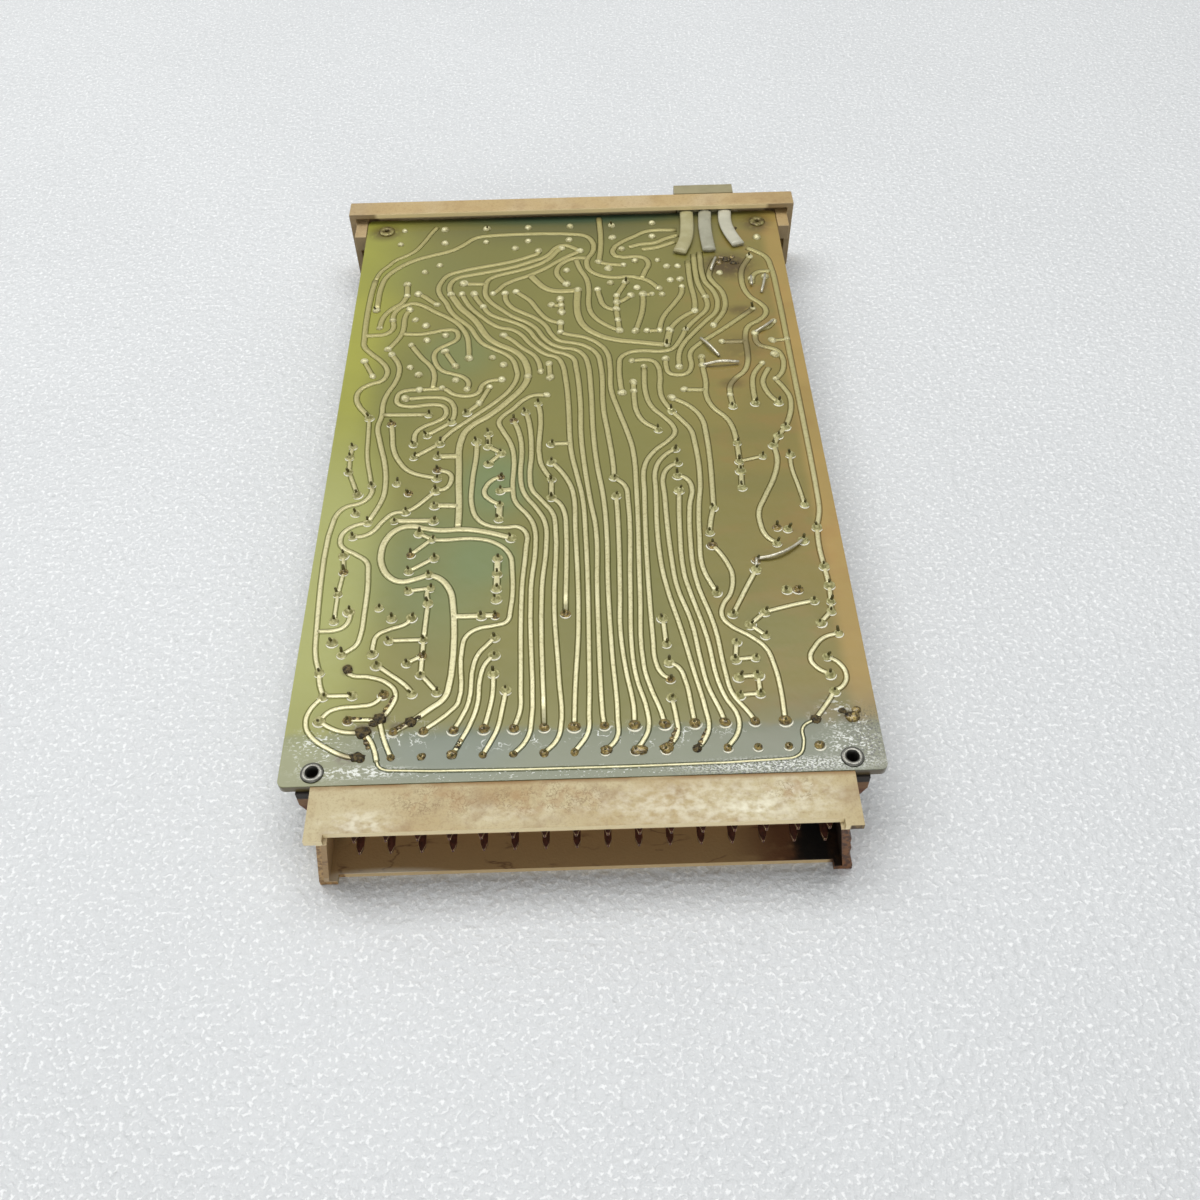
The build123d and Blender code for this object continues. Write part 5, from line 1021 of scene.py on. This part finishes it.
# flat sleeved leads: finish, width in mm and route
sleeves = {
    "left": (plainFinish("yellowedSleeve", "#ACA67E", "#8B8150", 3, 0.4, 0.03, 0.0, 0.35), 3.3,
             [(29.6, 60.9), (29.5, 58.5), (29.2, 56.2), (28.5, 54.2)]),
    "middle": (plainFinish("greySleeve", "#A3A18C", "#7F7C66", 3, 0.4, 0.03, 0.0, 0.35), 3.2,
               [(31.4, 60.9), (31.2, 58.5), (31.2, 56.5), (31.3, 54.4)]),
    "right": (plainFinish("whiteSleeve", "#BFBCA8", "#A4A28C", 3, 0.4, 0.03, 0.0, 0.35), 3.2,
              [(33.3, 60.9), (33.2, 58.8), (33.5, 57.0), (34.1, 55.2)]),
}
for side, (finish, width, route) in sleeves.items():
    nodeName, pieceName = "lead_sleeve_" + side, "leadSleeve" + side.capitalize()
    low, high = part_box(nodeName)
    thick = (high.z - low.z) / mm
    middleHeight = (low.z - boardHigh.z) / mm + thick / 2
    sleeveMesh = routeMesh(pieceName, [([route], roundSection(width, thick, 16), middleHeight)])
    for vert in sleeveMesh.verts:
        vert.co.y = min(vert.co.y, high.y)
    newPiece(pieceName, sleeveMesh, [finish], nodeName)
print("stage: front panel, sockets and sleeves made")


resistorBody = plainFinish("lacqueredResistor", "#A98B5E", "#8A6B42", 2, 0.4, 0.02, 0.0, 0.35)
bandBrown = plainFinish("brownBand", "#5B3420", "#432414", 1, 0.4, 0.0, 0.0, 0.35)
bandRed = plainFinish("redBand", "#9C2B1E", "#7A1D14", 1, 0.4, 0.0, 0.0, 0.35)
bandGold = plainFinish("goldBand", "#B08A3C", "#8A6A28", 1, 0.4, 0.0, 0.6, 0.35)
diodeBody = plainFinish("diodeGlass", "#A8553A", "#7C3320", 1, 0.4, 0.0, 0.0, 0.15)
diodeBand = plainFinish("blackBand", "#1E1B1A", "#121010", 1, 0.4, 0.0, 0.0, 0.3)
sleeveBlue = plainFinish("shrunkSleeve", "#2F4F78", "#25405F", 4, 0.4, 0.02, 0.0, 0.3)
canEnd = plainFinish("aluminiumCan", "#B9BBBD", "#8F9193", 1, 0.4, 0.0, 0.9, 0.35)
filmFinish = plainFinish("dippedFilm", "#9C3A22", "#74250F", 2, 0.4, 0.03, 0.0, 0.3)
transistorFinish = plainFinish("epoxyTransistor", "#242322", "#171616", 2, 0.4, 0.02, 0.0, 0.45)


def layAxials(nodeName, pieceName, profile, bands, materials, steps=14):
    # bodies of revolution lying along X; profile is (radius, place along the length) in shares of the size
    bm = bmesh.new()
    for centre, half in separateSolids(nodeName):
        radius, long = half.z, half.x * 2
        points = [(share * radius / mm, (along - 0.5) * long / mm) for share, along in profile]
        body = spinProfile(points, steps)
        for face in body.faces:
            share = face.calc_center_median().z / long + 0.5
            face.material_index = next((number for start, end, number in bands if start < share < end), 0)
        addCopies(bm, body, [Matrix.Translation(centre) @ Matrix.Rotation(math.pi / 2, 4, "Y")])
    newPiece(pieceName, bm, materials, nodeName)


dumbbell = [(0, 0), (0.5, 0.005), (0.92, 0.05), (1, 0.12), (0.98, 0.2), (0.84, 0.26), (0.84, 0.31),
            (0.84, 0.37), (0.84, 0.43), (0.84, 0.49), (0.84, 0.55), (0.84, 0.61), (0.84, 0.74), (0.98, 0.8),
            (1, 0.88), (0.92, 0.95), (0.5, 0.995), (0, 1)]
layAxials("resistor_bodies", "resistorBodies", dumbbell,
          [(0.12, 0.2, 1), (0.31, 0.37, 2), (0.43, 0.49, 1), (0.8, 0.88, 3)],
          [resistorBody, bandBrown, bandRed, bandGold])
bead = [(0, 0), (0.6, 0.01), (0.92, 0.1), (1, 0.25), (1, 0.35), (1, 0.6), (1, 0.75), (0.92, 0.9), (0.6, 0.99),
        (0, 1)]
layAxials("diode_bodies", "diodeBodies", bead, [(0.75, 0.9, 1)], [diodeBody, diodeBand])
can = [(0, 0.012), (0.6, 0.012), (0.82, 0.0), (0.95, 0.012), (1, 0.04), (1, 0.1), (0.9, 0.13), (0.9, 0.15),
       (1, 0.18), (1, 0.96), (0.95, 0.99), (0.82, 1.0), (0.6, 0.988), (0, 0.988)]
layAxials("electrolytic_capacitors", "electrolyticCapacitors", can, [(-0.1, 0.03, 1), (0.975, 1.1, 1)],
          [sleeveBlue, canEnd], 24)
for nodeName in ("resistor_leads", "diode_leads", "electrolytic_leads", "transistor_leads"):
    paintNode(nodeName, wireFinish)
softCopy("film_capacitors", "filmCapacitors", filmFinish, 0.6, 4)
softCopy("transistors", "transistorBodies", transistorFinish, 0.2, 2, 50)
print("stage: component side made")


# foam sheet; its fine glints are white flecks painted into the colour
floorFinish, floorShader, floorPlace = newMaterial("foamSheet", Roughness=0.4)
floorColour = stain("#D6D8D9", grain(floorPlace, 60), 0.25, "#CDCFD0")
# white flecks: painted glints
floorColour = stain(floorColour, grain(floorPlace, 0.75, 4, 0.53, 0.66), 0.75, "#F8F9F9")
floorColour = stain(floorColour, grain(floorPlace, 1.7, 4, 0.55, 0.75), 0.3, "#B9BCBC")
setColour(floorShader, floorColour)
fineBump(floorShader, floorPlace, 1.5, 0.25, 5)
floorMesh = bmesh.new()
bmesh.ops.create_grid(floorMesh, x_segments=1, y_segments=1, size=3.0)
floorData = bpy.data.meshes.new("floor")
floorMesh.to_mesh(floorData)
floorMesh.free()
floor = bpy.data.objects.new("floor", floorData)
bpy.context.collection.objects.link(floor)
floor.data.materials.append(floorFinish)

studio = {"strength": 0.4, "colour": "#F1F3F4"}
# place, what each light looks at, size and power
softBoxes = {
    "overhead": ((-0.2, 0.285, 1.0), (-0.2, 0.285, 0), (1.4, 0.57), 10.4),
    "window": ((-1.5, 1.8, 1.6), (0, 0, 0), (1.1, 0.9), 5),
    "frontFill": ((0.2, -1.7, 0.7), (0, 0, 0), (1.4, 0.5), 9),
}
world = bpy.data.worlds.new("studio")
bpy.context.scene.world = world
world.use_nodes = True
sky = world.node_tree.nodes["Background"].inputs
sky["Color"].default_value = linearColour(studio["colour"])
sky["Strength"].default_value = studio["strength"]

for name, (place, aim, size, power) in softBoxes.items():
    light = bpy.data.lights.new(name, "AREA")
    light.shape = "RECTANGLE"
    light.size, light.size_y = size
    light.energy = power
    lamp = bpy.data.objects.new(name, light)
    lamp.location = place
    lamp.rotation_euler = (Vector(aim) - Vector(place)).to_track_quat("-Z", "Y").to_euler()
    bpy.context.collection.objects.link(lamp)

view = {"lens": 36.18, "sensor": 36.0, "place": (0.002665, -0.181106, 0.185881),
        "turn": (39.2157, 0.8463, -1.4887)}
lens = bpy.data.cameras.new("camera")
lens.lens = view["lens"]
lens.sensor_width = view["sensor"]
lens.clip_start = 0.01
camera = bpy.data.objects.new("camera", lens)
camera.location = view["place"]
camera.rotation_euler = [math.radians(angle) for angle in view["turn"]]
bpy.context.collection.objects.link(camera)
bpy.context.scene.camera = camera
bpy.context.scene.view_settings.view_transform = "Standard"
print("stage: floor, light and camera set")
